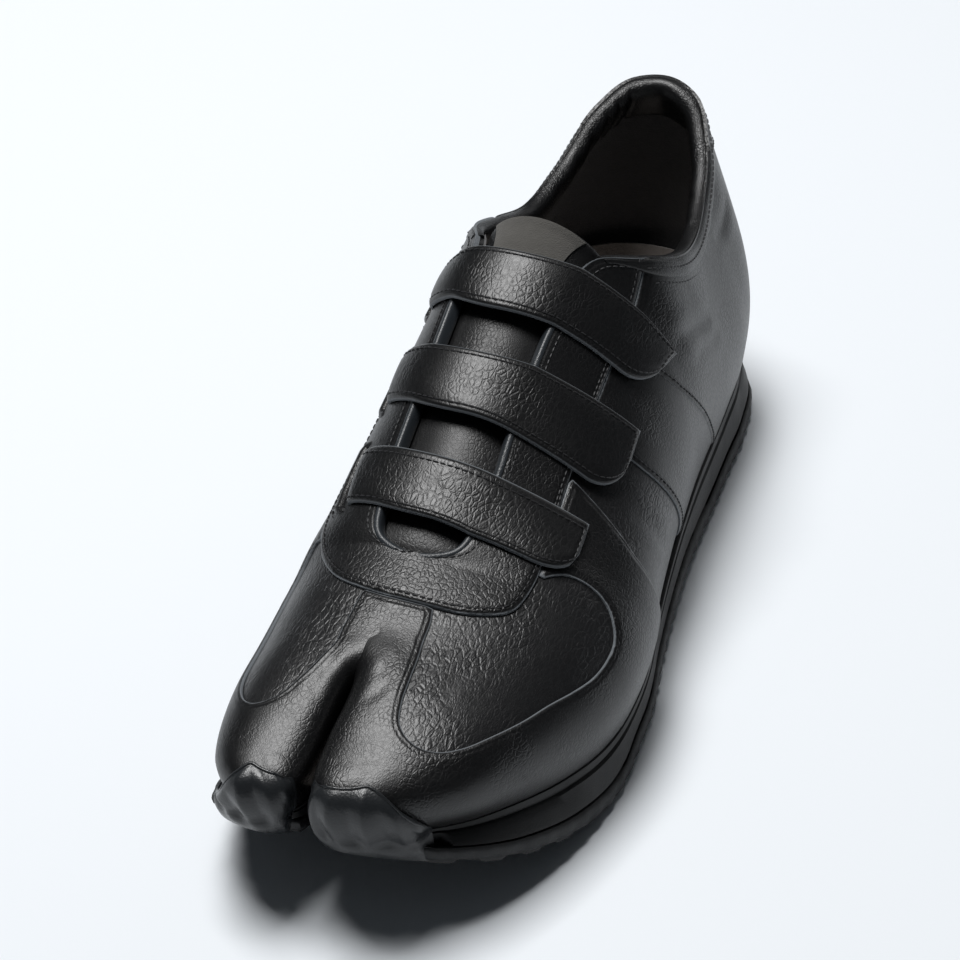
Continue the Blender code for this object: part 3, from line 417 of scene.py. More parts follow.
# Side of the midsole: share of the way down from the feather edge, share of the flare, step in or out
MIDSOLE_SIDE = (
    (0.00, 0.0, -4.0), (0.00, 0.0, -0.6), (0.03, 0.0, 0.0), (0.20, 0.10, 0.0), (0.24, 0.12, -0.9),
    (0.32, 0.18, -0.9), (0.36, 0.22, 0.0), (0.60, 0.50, 0.1), (0.82, 0.86, 0.1), (0.94, 1.0, 0.0),
    (1.00, 1.0, -0.5), (1.00, 1.0, -4.0),
)

# Wavy band round the outsole: step out from its ledge, share of the way down it, height of the ripple
BAND_SIDE = (
    (-3.0, 0.0, 0.0), (-0.9, 0.0, 0.0), (-0.3, 0.12, 0.1), (0.0, 0.35, 0.25), (0.1, 0.7, 0.4),
    (-0.2, 0.95, 0.5),
    (-0.8, 1.0, 0.5), (-3.0, 1.0, 0.3),
)
# Pitch of the ripple, how far the band draws back behind a bumper, its least ledge, its foot as a share
# of a lug's depth
RIPPLE = 7.0
BAND_RETREAT = 2.6
BAND_LEAST = 0.6
BAND_LOW = 0.55

# Edge of the insole: how far in, how high, share of the heel's cup; its inset along the slit, in millimetres
INSOLE_EDGE = (
    (3.0, 0.4, 0.0), (2.7, 1.8, 1.0), (3.2, 3.2, 1.0), (4.4, 3.7, 1.0), (7.0, 3.7, 0.45), (11.0, 3.4, 0.1),
)
INSOLE_SLIT = 3.4
# Height of the cupped edge round the heel, where it starts to rise and over what length
HEEL_CUP = 16.0
HEEL_CUP_START = 40.0
HEEL_CUP_RUN = 60.0

# Sizes of the patterns in the finishes, in millimetres: drift of the grain's lines, patches of stronger grain,
# swell under the grain, fuzz of a cloth, bloom on rubber
DRIFT = 4.545
PATCHES = 18.18
SWELL = 3.333
FUZZ = 2.381
BLOOM = 22.22


def hermite(p0, p1, m0, m1, s):
    """Cubic between two values with given slopes."""
    s2 = s * s
    s3 = s2 * s
    return (2 * s3 - 3 * s2 + 1) * p0 + (s3 - 2 * s2 + s) * m0 + (3 * s2 - 2 * s3) * p1 + (s3 - s2) * m1


def slopes(points, spans, closed):
    """Slope at each point from its two neighbours, weighted by the length of the spans."""
    n = len(points)
    out = np.zeros_like(points)
    for i in range(n):
        if closed or 0 < i < n - 1:
            before = (points[i] - points[i - 1]) / spans[i - 1]
            after = (points[(i + 1) % n] - points[i]) / spans[i]
            out[i] = (before * spans[i] + after * spans[i - 1]) / (spans[i - 1] + spans[i])
        elif i == 0:
            out[i] = (points[1] - points[0]) / spans[0]
        else:
            out[i] = (points[i] - points[i - 1]) / spans[i - 1]
    return out


class Line:
    """Smooth curve through knots; a closed one repeats its first knot at the end."""

    def __init__(self, knots):
        pts = np.array(knots, float)
        self.pts = pts
        closed = bool(np.allclose(pts[0], pts[-1]))
        self.spans = np.linalg.norm(np.diff(pts, axis=0), axis=1)
        if closed:
            self.m = slopes(pts[:-1], self.spans, True)
            self.m = np.vstack([self.m, self.m[:1]])
        else:
            self.m = slopes(pts, self.spans, False)

    def at(self, k):
        i = min(int(k), len(self.spans) - 1)
        d = self.spans[i]
        return hermite(self.pts[i], self.pts[i + 1], self.m[i] * d, self.m[i + 1] * d, k - i)


LINE = {name: Line(knots) for name, knots in LINES.items()}
ROWS = np.array([row[3:] for row in SECTIONS], float)
ROW_COUNT = len(SECTIONS)
ROW_SPANS = np.linalg.norm(np.roll(ROWS[:, :2], -1, axis=0) - ROWS[:, :2], axis=1)
ROW_SLOPES = slopes(ROWS, ROW_SPANS, True)
SOLE_ROWS = np.array(SOLE, float)[::-1]


def row_at(g):
    """All columns of the section table at place g round the feather edge; row i is at g = i."""
    i = int(math.floor(g)) % ROW_COUNT
    j = (i + 1) % ROW_COUNT
    d = ROW_SPANS[i]
    return hermite(ROWS[i], ROWS[j], ROW_SLOPES[i] * d, ROW_SLOPES[j] * d, g - math.floor(g))


def landing(g):
    """Point of the rim, ridge or crown that the section at g lands on."""
    i = int(math.floor(g)) % ROW_COUNT
    name, start, end = SECTIONS[i][:3]
    return LINE[name].at(start + (end - start) * (g - math.floor(g)))


def outward(g):
    """Plan direction out of the feather edge at g."""
    step = 0.02
    t = row_at(g + step)[:2] - row_at(g - step)[:2]
    return np.array((t[1], -t[0])) / np.linalg.norm(t)


def sole_height(y, column):
    """Height in the side view of the sole: column 1 ground line, 2 top of outsole, 3 feather edge."""
    ys = SOLE_ROWS[:, 0]
    zs = SOLE_ROWS[:, column]
    y = min(max(y, ys[0]), ys[-1])
    i = min(int(np.searchsorted(ys, y, side="right")) - 1, len(ys) - 2)
    rate = np.diff(zs) / np.diff(ys)
    m = [0.0] * len(ys)
    for k in range(1, len(ys) - 1):
        if rate[k - 1] * rate[k] > 0:
            m[k] = 2 * rate[k - 1] * rate[k] / (rate[k - 1] + rate[k])
    m[0] = rate[0]
    m[-1] = rate[-1]
    d = ys[i + 1] - ys[i]
    return hermite(zs[i], zs[i + 1], m[i] * d, m[i + 1] * d, (y - ys[i]) / d)


def feather(g, margin=0.0):
    """Point of the feather edge at g, moved out by margin."""
    x, y = row_at(g)[:2] + outward(g) * margin
    return np.array((x, y, sole_height(y, 3)))


def line_fall(line, k):
    """How a line falls at k, as a plan vector along it."""
    low, high = line.at(max(k - 0.05, 0.0)), line.at(min(k + 0.05, float(len(line.spans))))
    run = (high - low)[:2]
    return run * (low[2] - high[2]) / (run @ run)


def fall(g):
    """How the crown falls where the section at g lands; the fork falls as the ridge does."""
    name, start, end = SECTIONS[int(math.floor(g)) % ROW_COUNT][:3]
    if name == "collar":
        return np.zeros(2)
    k = start + (end - start) * (g - math.floor(g))
    own = line_fall(LINE[name], k)
    if name == "ridge":
        return own
    return line_fall(LINE["ridge"], 2.0) * max(1.0 - k, 0.0) + own * min(k, 1.0)


def section(g):
    """The four control points of the half section at g."""
    x, y, bulge, rise, slope, reach = row_at(g)[:6]
    out = outward(g)
    foot = np.array((x, y, sole_height(y, 3)))
    top = landing(g)
    low = foot + np.array((out[0] * bulge, out[1] * bulge, (top[2] - foot[2]) * rise))
    inward = (top - foot)[:2] - out * LEAN
    inward /= np.linalg.norm(inward)
    angle = math.radians(slope) - math.atan(inward @ fall(g))
    run = np.array((inward[0] * math.cos(angle), inward[1] * math.cos(angle), math.sin(angle)))
    high = top - run * reach * np.linalg.norm(top - low)
    return foot, low, high, top


def bezier(points, v):
    """Point on a cubic with four control points."""
    a, b, c, d = points
    w = 1.0 - v
    return a * w ** 3 + b * 3 * w * w * v + c * 3 * w * v * v + d * v ** 3


def surface_point(g, v):
    """Point of the upper and its outward normal."""
    step = 0.01
    along = bezier(section(g + step), v) - bezier(section(g - step), v)
    points = section(g)
    up = bezier(points, min(v + step, 1.0)) - bezier(points, max(v - step, 0.0))
    normal = np.cross(along, up)
    return bezier(points, v), normal / np.linalg.norm(normal)


def smooth_loop(knots, steps):
    """Closed smooth loop through knots in a plane."""
    pts = np.array(knots, float)
    spans = np.linalg.norm(np.roll(pts, -1, axis=0) - pts, axis=1)
    m = slopes(pts, spans, True)
    out = []
    for i in range(len(pts)):
        j = (i + 1) % len(pts)
        for k in range(steps):
            out.append(hermite(pts[i], pts[j], m[i] * spans[i], m[j] * spans[i], k / steps))
    return np.array(out)


def ledge(g):
    """How far the outsole stands out from the feather edge."""
    return row_at(g)[6]


def midsole_foot(g):
    """How far the foot of the midsole stands out; behind a bumper it stays upright."""
    for knots in (BUMPER_BIG, BUMPER_FOUR):
        if knots[0][0] - BUMPER_RUN_OUT <= g <= knots[-1][0] + BUMPER_RUN_OUT:
            return MIDSOLE_LEDGE
    return max(ledge(g) - OUTSOLE_STEP, MIDSOLE_LEDGE_SLIT)


def midsole_top(g):
    """How far the top of the midsole stands out."""
    return min(ledge(g), MIDSOLE_LEDGE)


def bridge_point(a, b):
    """Point of the instep: a runs up the throat, b across it from medial -1 to lateral 1."""
    lateral = section(THROAT_LATERAL[0] + (THROAT_LATERAL[1] - THROAT_LATERAL[0]) * a)
    medial = section(THROAT_MEDIAL[0] + (THROAT_MEDIAL[1] - THROAT_MEDIAL[0]) * a)
    if b >= BRIDGE:
        return bezier(lateral, 1.0 - (b - BRIDGE))
    if b <= -BRIDGE:
        return bezier(medial, 1.0 - (-b - BRIDGE))
    reach = BRIDGE_REACH * np.linalg.norm(lateral[3] - medial[3])
    from_medial = (medial[3] - medial[2]) / np.linalg.norm(medial[3] - medial[2])
    from_lateral = (lateral[3] - lateral[2]) / np.linalg.norm(lateral[3] - lateral[2])
    arch = (medial[3], medial[3] + from_medial * reach, lateral[3] + from_lateral * reach, lateral[3])
    return bezier(arch, (b + BRIDGE) / (2 * BRIDGE))


def bridge_frame(a, b):
    """Point of the instep and its outward normal."""
    step = 0.01
    along = bridge_point(a + step, b) - bridge_point(a - step, b)
    across = bridge_point(a, b + step) - bridge_point(a, b - step)
    normal = np.cross(across, along)
    return bridge_point(a, b), normal / np.linalg.norm(normal)


def columns():
    """Places of the fine sections; rows that land on one line from two sides have equal steps."""
    places = []
    for i, row in enumerate(SECTIONS):
        steps = max(6, round(ROW_SPANS[i] / FINE)) if row[0] == "collar" else TOE_COLUMNS
        places += [i + k / steps for k in range(steps)]
    return np.array(places + [float(ROW_COUNT)])


def grid_normals(points, closed=False):
    """Outward normals of a grid of points; a pole takes the normal of the row under it."""
    along = np.gradient(points, axis=0)
    if closed:
        along[0] = points[1] - points[-2]
        along[-1] = along[0]
    normal = np.cross(along, np.gradient(points, axis=1))
    size = np.linalg.norm(normal, axis=2)
    least = 0.0001 * size.max()
    for k in range(1, points.shape[1]):
        pole = size[:, k] < least
        normal[pole, k] = normal[pole, k - 1]
    return normal / np.linalg.norm(normal, axis=2, keepdims=True)


def line_distance(points, line):
    """Distance of points from a line of straight pieces, share of its length there, and the nearest piece."""
    steps = np.diff(line, axis=0)
    lengths = np.linalg.norm(steps, axis=1)
    before = np.concatenate([[0.0], np.cumsum(lengths)])
    best = np.full(len(points), 1e9)
    share = np.zeros(len(points))
    nearest = np.zeros(len(points), int)
    for i, step in enumerate(steps):
        t = np.clip((points - line[i]) @ step / max(lengths[i] ** 2, 1e-12), 0.0, 1.0)
        gap = np.linalg.norm(points - line[i] - t[:, None] * step, axis=1)
        closer = gap < best
        best[closer] = gap[closer]
        share[closer] = (before[i] + t[closer] * lengths[i]) / before[-1]
        nearest[closer] = i
    return best, share, nearest


def inside_loop(points, loop):
    """Which flat points lie inside a closed loop."""
    inside = np.zeros(len(points), bool)
    for (x0, y0), (x1, y1) in zip(loop, np.roll(loop, -1, axis=0)):
        if y0 == y1:
            continue
        spans = (y0 > points[:, 1]) != (y1 > points[:, 1])
        inside ^= spans & (points[:, 0] < x0 + (points[:, 1] - y0) * (x1 - x0) / (y1 - y0))
    return inside


def smooth_line(knots, steps):
    """Open smooth line through knots."""
    pts = np.array(knots, float)
    spans = np.linalg.norm(np.diff(pts, axis=0), axis=1)
    m = slopes(pts, spans, False)
    out = [hermite(pts[i], pts[i + 1], m[i] * spans[i], m[i + 1] * spans[i], k / steps)
           for i in range(len(spans)) for k in range(steps)]
    return np.array(out + [pts[-1]])


def fullness(g, v):
    """How far the leather stands out over the section at g and v."""
    table = np.array(FULLNESS)
    return np.interp(g, table[:, 0], table[:, 1]) * np.sin(math.pi * np.clip(v, 0.0, 1.0)) ** 1.5


def share_crown(points, normals):
    """Columns that land on one point of the ridge or of a crown share one normal there."""
    groups = {}
    for i, key in enumerate(map(tuple, np.round(points[:, -1], 3))):
        groups.setdefault(key, []).append(i)
    for ids in groups.values():
        level = [i for i in ids if normals[i, -2, 2] > 0.85] or ids
        mean = normals[level, -2].mean(axis=0)
        normals[ids, -1] = mean / np.linalg.norm(mean)
    return normals


class Skin:
    """Grid of the upper's outer surface with its normals and the signed distances from its seams."""

    def __init__(self):
        self.g = columns()
        self.v = np.linspace(0.0, 1.0, RISE_ROWS + 1)
        control = np.array([section(g) for g in self.g])
        w = 1.0 - self.v
        weights = np.stack([w ** 3, 3 * w * w * self.v, 3 * w * self.v ** 2, self.v ** 3], axis=1)
        self.points = np.einsum("mk,nkc->nmc", weights, control)
        self.even_out()
        self.normals = share_crown(self.points, grid_normals(self.points, True))
        aside = np.array([(*outward(g), 0.0) for g in self.g])
        self.points += aside[:, None] * fullness(self.g[:, None], self.v[None, :])[..., None]
        self.normals = share_crown(self.points, grid_normals(self.points, True))
        self.crease()
        self.fields = {
            "facing": self.facing(),
            "window_lateral": self.window(WINDOW_LATERAL),
            "window_medial": self.window(WINDOW_MEDIAL),
            "guard": self.seam(SEAM_GUARD),
            "quarter": self.seam(SEAM_QUARTER),
            "counter": self.seam(SEAM_COUNTER),
            "tab": self.seam(SEAM_TAB),
            "rim": self.rim(),
        }

    def flat(self):
        """All points in one row."""
        return self.points.reshape(-1, 3)

    def path(self, pairs):
        """Points of the surface at pairs of g and v."""
        columns_at = np.interp(pairs[:, 0] % ROW_COUNT, self.g, np.arange(len(self.g)))
        return np.array([self.at(i, v * RISE_ROWS)[0] for i, v in zip(columns_at, pairs[:, 1])])

    def even_out(self):
        """Smooth the vamp where its sections fan out from the fork."""
        g = self.g
        zone = np.maximum.reduce([np.clip(np.minimum(g - low, high - g), 0.0, 1.0) for low, high in FANS])
        amount = zone[:, None] * np.clip((1.0 - self.v) / 0.08, 0.0, 1.0)[None, :]
        amount[[0, -1]] = 0.0
        for _ in range(FAN_ROUNDS):
            mean = (np.roll(self.points, 1, axis=0) + np.roll(self.points, -1, axis=0)) / 2
            self.points = self.points + (mean - self.points) * (0.5 * amount)[..., None]

    def crease(self):
        """Work the creases into the surface as soft troughs with a low ridge on each side."""
        moved = np.zeros(self.points.shape[:2])
        for g0, v0, g1, v1, bow, half, depth in CREASES:
            t = np.linspace(0.0, 1.0, 12)
            bowed = v0 + (v1 - v0) * t + bow * np.sin(math.pi * t)
            line = self.path(np.stack([g0 + (g1 - g0) * t, bowed], axis=1))
            low = line.min(axis=0) - 12.0
            high = line.max(axis=0) + 12.0
            near = ((self.points > low) & (self.points < high)).all(axis=2)
            gap, share, _ = line_distance(self.points[near], line)
            fade = np.sin(math.pi * np.clip(share, 0.0, 1.0)) ** 0.7
            trough = np.exp(-(gap / half) ** 2) - 0.35 * np.exp(-((gap - 2.2 * half) / half) ** 2)
            moved[near] -= depth * fade * trough
        self.points = self.points + self.normals * moved[..., None]
        self.normals = share_crown(self.points, grid_normals(self.points, True))

    def seam(self, table):
        """Distance from a seam of the side view, positive towards the heel or above a seam that runs back."""
        line = np.array(table, float)
        line = np.vstack([line[0] - (line[1] - line[0]) * 8.0, line, line[-1] + (line[-1] - line[-2]) * 8.0])
        flat = self.flat()[:, 1:]
        gap, _, nearest = line_distance(flat, line)
        step = np.diff(line, axis=0)[nearest]
        rel = flat - line[nearest]
        sign = np.sign(step[:, 0] * rel[:, 1] - step[:, 1] * rel[:, 0])
        return (gap * sign).reshape(self.points.shape[:2])

    def facing(self):
        """Distance from the edge of the facing, negative on it."""
        line = smooth_line(FACING, 6)
        flat = self.flat()
        gap, _, _ = line_distance(flat[:, :2], line)
        loop = np.vstack([line, (line[-1][0], 200.0), (line[0][0], 200.0)])
        plan = np.where(inside_loop(flat[:, :2], loop), -gap, gap)
        under = (FACING_LOW + FACING_CLIMB * flat[:, 1] - flat[:, 2]) / math.hypot(1.0, FACING_CLIMB)
        return np.maximum(plan, under).reshape(self.points.shape[:2])

    def window(self, knots):
        """Distance from the edge of a window, negative inside it."""
        ring = smooth_loop(np.array(knots) * ROOM, 6) / ROOM
        line = self.path(np.vstack([ring, ring[:1]]))
        low = line.min(axis=0) - 14.0
        high = line.max(axis=0) + 14.0
        near = ((self.points > low) & (self.points < high)).all(axis=2)
        turns = np.round((ring[:, 0].mean() - self.g) / ROW_COUNT) * ROW_COUNT
        pairs = np.stack(np.broadcast_arrays((self.g + turns)[:, None], self.v[None, :]), axis=2)
        gap, _, _ = line_distance(self.points[near], line)
        field = np.full(self.points.shape[:2], FAR)
        field[near] = np.where(inside_loop(pairs[near], ring), -gap, gap)
        return field

    def rim(self):
        """Distance under the rim of the opening; far where a section lands on the ridge or a crown."""
        lengths = np.linalg.norm(np.diff(self.points, axis=1), axis=2)
        under = np.cumsum(lengths[:, ::-1], axis=1)[:, ::-1]
        under = np.concatenate([under, np.zeros((len(self.g), 1))], axis=1)
        under[self.g > RIM_END] = FAR
        return under

    def at(self, i, j):
        """Point and normal between the grid's columns and rows."""
        i0 = min(int(i), len(self.g) - 2)
        j0 = min(int(j), len(self.v) - 2)
        s = i - i0
        t = j - j0
        out = []
        for grid in (self.points, self.normals):
            low = grid[i0, j0] * (1 - s) + grid[i0 + 1, j0] * s
            high = grid[i0, j0 + 1] * (1 - s) + grid[i0 + 1, j0 + 1] * s
            out.append(low * (1 - t) + high * t)
        return out[0], out[1] / np.linalg.norm(out[1])


def level_lines(field, level):
    """Lines in the grid's own columns and rows along which a field has a level."""
    f = field - level
    links = {}
    spots = {}
    corners = (f[:-1, :-1] > 0, f[1:, :-1] > 0, f[:-1, 1:] > 0, f[1:, 1:] > 0)
    total = sum(c.astype(int) for c in corners)
    busy = (total > 0) & (total < 4)
    for i, j in zip(*np.nonzero(busy)):
        found = []
        for key, (i0, j0), (i1, j1) in (
                (("c", i, j), (i, j), (i + 1, j)), (("c", i, j + 1), (i, j + 1), (i + 1, j + 1)),
                (("r", i, j), (i, j), (i, j + 1)), (("r", i + 1, j), (i + 1, j), (i + 1, j + 1))):
            p = f[i0, j0]
            q = f[i1, j1]
            if (p > 0) != (q > 0):
                t = p / (p - q)
                spots[key] = (i0 + (i1 - i0) * t, j0 + (j1 - j0) * t)
                found.append(key)
        if len(found) == 2:
            links.setdefault(found[0], []).append(found[1])
            links.setdefault(found[1], []).append(found[0])
    lines = []
    left = dict.fromkeys(links)
    starts = [k for k in links if len(links[k]) == 1] + list(links)
    for start in starts:
        if start not in left:
            continue
        chain = [start]
        del left[start]
        while True:
            after = [k for k in links[chain[-1]] if k in left]
            if not after:
                break
            chain.append(after[0])
            del left[after[0]]
        if len(chain) > 2 and chain[0] in links[chain[-1]]:
            chain.append(chain[0])
        lines.append([spots[k] for k in chain])
    return lines


def srgb(text):
    """Linear colour of an sRGB hex code."""
    shares = [int(text[k:k + 2], 16) / 255.0 for k in (1, 3, 5)]
    return tuple(s / 12.92 if s <= 0.04045 else ((s + 0.055) / 1.055) ** 2.4 for s in shares)


class ShoeLooks(bpy.types.PropertyGroup):
    """Sizes and colours of the shoe's finish."""

    leather: bpy.props.FloatVectorProperty(
        name="Leather", description="Black pebbled leather of the overlays", subtype="COLOR", size=3,
        default=srgb("#0a0a0b"))
    vamp: bpy.props.FloatVectorProperty(
        name="Vamp leather", description="Leather in the windows of the vamp", subtype="COLOR", size=3,
        default=srgb("#141415"))
    # Cut edge colour: the raw edge's own grey, made lighter as well for a painted highlight where the rolled
    # edge catches light
    edge: bpy.props.FloatVectorProperty(
        name="Cut edge", description="Raw cut edge of the leather, lighter also as a painted highlight on its rolled edge", subtype="COLOR", size=3,
        default=srgb("#63676b"))
    thread: bpy.props.FloatVectorProperty(
        name="Thread", description="Sewing thread", subtype="COLOR", size=3, default=srgb("#1c1c1e"))
    lining: bpy.props.FloatVectorProperty(
        name="Lining", description="Soft lining of the heel and quarters", subtype="COLOR", size=3,
        default=srgb("#4a494a"))
    taupe: bpy.props.FloatVectorProperty(
        name="Taupe", description="Top of the tongue", subtype="COLOR", size=3, default=srgb("#4a4844"))
    insole: bpy.props.FloatVectorProperty(
        name="Insole", description="Cloth of the insole", subtype="COLOR", size=3, default=srgb("#8f8883"))
    rubber: bpy.props.FloatVectorProperty(
        name="Rubber", description="Lugged outsole", subtype="COLOR", size=3, default=srgb("#0d0e10"))
    bumper: bpy.props.FloatVectorProperty(
        name="Bumper rubber", description="Hood over each toe", subtype="COLOR", size=3,
        default=srgb("#1e2022"))
    # Lighter grey-blue than the leather: a painted highlight along the rolled fold of the facing
    fold: bpy.props.FloatVectorProperty(
        name="Folded edge", description="Fold of the facing along the throat, lighter grey-blue for a painted highlight", subtype="COLOR", size=3,
        default=srgb("#262a2e"))
    foam: bpy.props.FloatVectorProperty(
        name="Foam", description="Midsole", subtype="COLOR", size=3, default=srgb("#09090a"))
    floor: bpy.props.FloatVectorProperty(
        name="Floor", description="Studio floor", subtype="COLOR", size=3, default=srgb("#e4e8ec"))
    panel_lift: bpy.props.FloatProperty(
        name="Overlay height", description="How far an overlay stands on the upper", default=0.0012,
        unit="LENGTH")
    facing_lift: bpy.props.FloatProperty(
        name="Facing height", description="How far the facing stands on the upper", default=0.0016,
        unit="LENGTH")
    strap_thickness: bpy.props.FloatProperty(
        name="Strap thickness", description="Two layers of leather with a pad", default=0.0019, unit="LENGTH")
    stitch_pitch: bpy.props.FloatProperty(
        name="Stitch pitch", description="From one stitch to the next", default=0.0021, unit="LENGTH")
    stitch_length: bpy.props.FloatProperty(
        name="Stitch length", description="Length of one stitch", default=0.0018, unit="LENGTH")
    stitch_width: bpy.props.FloatProperty(
        name="Stitch width", description="Thickness of the thread", default=0.0005, unit="LENGTH")
    stitch_inset: bpy.props.FloatProperty(
        name="Stitch inset", description="From a cut edge to its stitches", default=0.0015, unit="LENGTH")
    key_power: bpy.props.FloatProperty(
        name="Softbox power", description="Large softbox over the back of the shoe", default=46.0, unit="POWER")


def looks():
    """Sizes and colours as set in the scene."""
    return bpy.context.scene.shoe_looks


def add_node(tree, kind, settings=(), links=()):
    """New node with its settings and the sockets that feed it; a number is a socket's place."""
    made = tree.nodes.new(kind)
    for name, value in dict(settings).items():
        if isinstance(name, int) or name in made.inputs:
            made.inputs[name].default_value = value
        else:
            setattr(made, name, value)
    for name, source in dict(links).items():
        tree.links.new(source, made.inputs[name])
    return made


def new_material(name, colour, roughness, **sockets):
    """Material with its shader's constant values set; returns it with its tree and shader."""
    made = bpy.data.materials.get(name)
    if made:
        return made, None, None
    made = bpy.data.materials.new(name)
    made.use_nodes = True
    tree = made.node_tree
    shader = tree.nodes["Principled BSDF"]
    shader.inputs["Base Color"].default_value = (*colour, 1.0)
    shader.inputs["Roughness"].default_value = roughness
    for socket, value in sockets.items():
        shader.inputs[socket.replace("_", " ")].default_value = value
    return made, tree, shader


def shaded(tree, shader, colour, shade):
    """Let a node darken and lighten the colour of a finish."""
    paint = add_node(tree, "ShaderNodeMix",
                     {"data_type": "RGBA", "blend_type": "MULTIPLY", 0: 1.0, 6: (*colour, 1.0)},
                     {7: shade.outputs[0]})
    tree.links.new(paint.outputs[2], shader.inputs["Base Color"])


def leather(name, colour, cell, stretch, groove, edged=True, dull=0.0):
    """Drum-dyed hide, milled and lightly waxed: flat plates with fine grooves between them and a soft shine.

    cell is the size of a plate and groove its depth in millimetres, stretch the plates' length along the shoe.
    """
    made, tree, shader = new_material(
        name, colour, 0.4, Specular_IOR_Level=0.4, Coat_Weight=0.12, Coat_Roughness=0.25)
    if tree is None:
        return made
    place = add_node(tree, "ShaderNodeTexCoord").outputs["Object"]
    drift = add_node(tree, "ShaderNodeTexNoise", {"Scale": METRE / DRIFT, "Detail": 1.0}, {"Vector": place})
    bent = add_node(tree, "ShaderNodeMixRGB", {"blend_type": "LINEAR_LIGHT", "Fac": 0.0007},
                    {"Color1": place, "Color2": drift.outputs["Color"]})
    turned = add_node(tree, "ShaderNodeMapping", {"Scale": (1.0, stretch, 1.0)}, {"Vector": bent.outputs[0]})
    cells = add_node(tree, "ShaderNodeTexVoronoi", {"feature": "DISTANCE_TO_EDGE", "Scale": METRE / cell},
                     {"Vector": turned.outputs[0]})
    crown = add_node(tree, "ShaderNodeMapRange", {"interpolation_type": "SMOOTHSTEP", "From Max": 0.2},
                     {"Value": cells.outputs["Distance"]})
    fine = add_node(tree, "ShaderNodeTexVoronoi", {"feature": "DISTANCE_TO_EDGE", "Scale": 2.4 * METRE / cell},
                    {"Vector": turned.outputs[0]})
    pore = add_node(tree, "ShaderNodeMapRange", {"interpolation_type": "SMOOTHSTEP", "From Max": 0.34},
                    {"Value": fine.outputs["Distance"]})
    patch = add_node(tree, "ShaderNodeTexNoise", {"Scale": METRE / PATCHES, "Detail": 3.0}, {"Vector": place})
    amount = add_node(tree, "ShaderNodeMapRange", {"From Min": 0.36, "From Max": 0.62},
                      {"Value": patch.outputs["Fac"]})
    plates = add_node(tree, "ShaderNodeMath", {"operation": "MULTIPLY"},
                      {0: crown.outputs[0], 1: amount.outputs[0]})
    pitted = add_node(tree, "ShaderNodeMath", {"operation": "MULTIPLY_ADD", 1: 0.3},
                      {0: pore.outputs[0], 2: plates.outputs[0]})
    swell = add_node(tree, "ShaderNodeTexNoise", {"Scale": METRE / SWELL, "Detail": 1.0},
                     {"Vector": turned.outputs[0]})
    height = add_node(tree, "ShaderNodeMath", {"operation": "MULTIPLY_ADD", 1: 0.7},
                      {0: swell.outputs["Fac"], 2: pitted.outputs[0]})
    rough = add_node(tree, "ShaderNodeMapRange", {"To Min": 0.43 + dull, "To Max": 0.38 + dull},
                     {"Value": crown.outputs[0]})
    # Towards a cut edge the colour turns to the edge colour: the raw edge's own grey, and a painted highlight
    # where the rolled edge catches light
    if edged:
        edge = add_node(tree, "ShaderNodeAttribute", {"attribute_name": "edge"}).outputs["Fac"]
        cut = add_node(tree, "ShaderNodeMapRange",
                       {"interpolation_type": "SMOOTHSTEP", "From Min": 0.05, "From Max": 0.42,
                        "To Min": 1.0, "To Max": 0.0}, {"Value": edge})
        paint = add_node(tree, "ShaderNodeMix",
                         {"data_type": "RGBA", 6: (*colour, 1.0), 7: (*looks().edge, 1.0)},
                         {0: cut.outputs[0]})
        tree.links.new(paint.outputs[2], shader.inputs["Base Color"])
        rough = add_node(tree, "ShaderNodeMath", {"operation": "MULTIPLY_ADD", 1: 0.2},
                         {0: cut.outputs[0], 2: rough.outputs[0]})
        past = add_node(tree, "ShaderNodeMath", {"operation": "SUBTRACT", 1: looks().stitch_inset / MM},
                        {0: edge})
        off = add_node(tree, "ShaderNodeMath", {"operation": "ABSOLUTE"}, {0: past.outputs[0]})
        pulled = add_node(tree, "ShaderNodeMapRange",
                          {"interpolation_type": "SMOOTHSTEP", "From Max": 0.8, "To Min": -1.6, "To Max": 0.0},
                          {"Value": off.outputs[0]})
        height = add_node(tree, "ShaderNodeMath", {"operation": "ADD"},
                          {0: height.outputs[0], 1: pulled.outputs[0]})
    bump = add_node(tree, "ShaderNodeBump", {"Strength": 1.0, "Distance": groove * MM},
                    {"Height": height.outputs[0]})
    for socket, source in (("Roughness", rough), ("Normal", bump), ("Coat Normal", bump)):
        tree.links.new(source.outputs[0], shader.inputs[socket])
    return made


def cloth(name, colour, thread, roughness):
    """Woven or brushed textile, dull with a soft sheen; thread is the pitch of the weave in mm."""
    made, tree, shader = new_material(name, colour, roughness, Sheen_Weight=0.25, Sheen_Roughness=0.6)
    if tree is None:
        return made
    place = add_node(tree, "ShaderNodeTexCoord").outputs["Object"]
    weave = add_node(tree, "ShaderNodeTexVoronoi", {"Scale": METRE / thread}, {"Vector": place})
    fuzz = add_node(tree, "ShaderNodeTexNoise", {"Scale": METRE / FUZZ, "Detail": 4.0}, {"Vector": place})
    height = add_node(tree, "ShaderNodeMath", {"operation": "ADD"},
                      {0: weave.outputs["Distance"], 1: fuzz.outputs["Fac"]})
    bump = add_node(tree, "ShaderNodeBump", {"Strength": 0.7, "Distance": 0.18 * MM},
                    {"Height": height.outputs[0]})
    tree.links.new(bump.outputs[0], shader.inputs["Normal"])
    shade = add_node(tree, "ShaderNodeMapRange", {"To Min": 0.8, "To Max": 1.15},
                     {"Value": fuzz.outputs["Fac"]})
    shaded(tree, shader, colour, shade)
    return made


